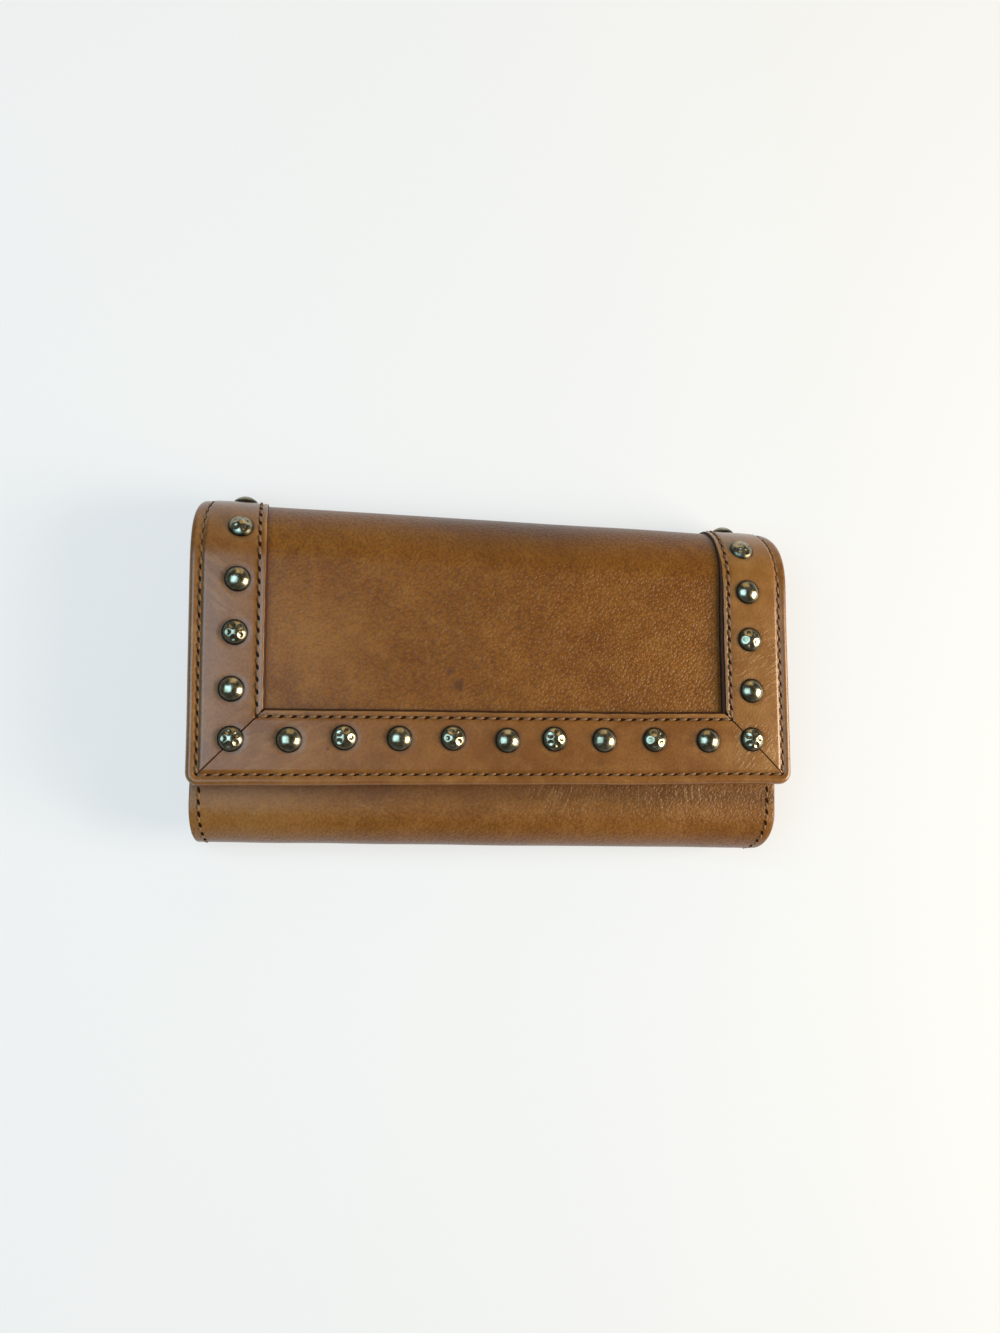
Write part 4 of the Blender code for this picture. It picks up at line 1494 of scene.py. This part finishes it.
softened = {  # metal parts with their edges rounded off: node, edge
    "slider_cast": ("zip_slider", 0.28 * mm),
    "puller_tab": ("zip_puller", 0.25 * mm),
    "stop_crimp_left": ("zip_stop_left", 0.3 * mm),
    "stop_crimp_right": ("zip_stop_right", 0.3 * mm),
    "snap_ring": ("snap_socket", 0.22 * mm),
    "snap_disc": ("snap_stud", 0.22 * mm),
}
for name, (node, edge) in softened.items():
    piece = named(bpy.data.objects.new(name, bpy.data.objects[node].data.copy()), name)
    bpy.context.scene.collection.objects.link(piece)
    edit(piece)
    bpy.ops.mesh.customdata_custom_splitnormals_clear()
    bpy.ops.mesh.remove_doubles(threshold=tiny)
    bpy.ops.mesh.dissolve_limited(angle_limit=math.radians(2))
    done()
    withModifier(piece, "BEVEL", width=edge, segments=3, limit_method="ANGLE", angle_limit=math.radians(32))
    finish = (snapNickel, "snap_nickel") if node.startswith("snap") else (zipBrass, "zip_brass")
    standFor(piece, node, *finish, 50)
print("coin pocket, zip and snap fitted")


# floor, light and camera

paper = (0.93, 0.925, 0.915)
ground = {"size": 4, "below": 0.3 * mm, "low": (0.7, 0.7, 0.7), "high": (0.73, 0.73, 0.73), "glow": 0.65}


def makeFloor():
    fresh()
    bpy.ops.mesh.primitive_plane_add(size=ground["size"], location=(0, 0, cadBox[0].z - ground["below"]))
    floor = bpy.context.object
    floor.name = "floor"
    f = Finish("floor")
    soft = f.clouds(f.place(), 0.3, 2.0)
    f.put(Base_Color=f.mix(soft, ground["low"], ground["high"]), Roughness=0.9)
    finishOf(floor, f.backdrop(ground["glow"], f.node("Emission", {}, {"Color": paper})))


makeFloor()

lamps = {
    "window": {"place": (-0.37, 0.0, 0.7), "size": 0.6, "power": 5.2, "colour": (0.46, 0.78, 1.0)},
    "roomLamp": {"place": (0.8, -0.12, 0.45), "size": 0.5, "power": 13.5, "colour": (1.0, 0.87, 0.66)},
    "topFill": {"place": (0.05, 0.62, 0.28), "size": 0.5, "power": 0.9, "colour": (1.0, 0.72, 0.38)},
}
for name, lamp in lamps.items():
    light = bpy.data.lights.new(name, "AREA")
    light.shape = "SQUARE"
    light.size = lamp["size"]
    light.energy = lamp["power"]
    light.color = lamp["colour"]
    holder = bpy.data.objects.new(name, light)
    bpy.context.scene.collection.objects.link(holder)
    holder.location = lamp["place"]
    holder.rotation_euler = (-Vector(lamp["place"])).to_track_quat("-Z", "Y").to_euler()

room = {"colour": (1, 0.92, 0.78), "light": 0.12, "haze": 0.55, "fade": (0.02, 0.34)}  # pale above the floor


def makeRoom():
    f = Finish("room", world=True)
    f.put(Color=room["colour"], Strength=room["light"])
    up = f.node("SeparateXYZ", {}, {0: f.node("TexCoord", {}, out="Generated")}, "Z")
    glow = f.node("Background", {}, {"Color": paper, "Strength": room["haze"]})
    bpy.context.scene.world = f.backdrop(f.band(up, *room["fade"], 1, 0), glow)


makeRoom()

view = {
    "focal": 1276.7,  # in pixels of the 1333 high frame
    "high": 1333,
    "sensor": 36,
    "turn": (-6.268, 11.468, -2.247),
    "shift": (0.18 * mm, -36.25 * mm, -391.1 * mm),
    "origin": (0, flapLow.y, flapFace + 1.8 * mm),
}
turnX, turnY, turnZ = (math.radians(a) for a in view["turn"])
look = Matrix.Rotation(turnZ, 3, "Z") @ Matrix.Rotation(turnY, 3, "Y") @ Matrix.Rotation(turnX, 3, "X")
lens = bpy.data.cameras.new("camera")
lens.sensor_fit = "AUTO"
lens.sensor_width = view["sensor"]
lens.lens = view["sensor"] * view["focal"] / view["high"]
lens.clip_start = 10 * mm
camera = bpy.data.objects.new("camera", lens)
bpy.context.scene.collection.objects.link(camera)
eye = Vector(view["origin"]) - look.transposed() @ Vector(view["shift"])
camera.matrix_world = Matrix.Translation(eye) @ look.transposed().to_4x4()
bpy.context.scene.camera = camera
bpy.context.scene.view_settings.view_transform = "Standard"

for model in (oneThread, oneHole):
    bpy.data.objects.remove(model)
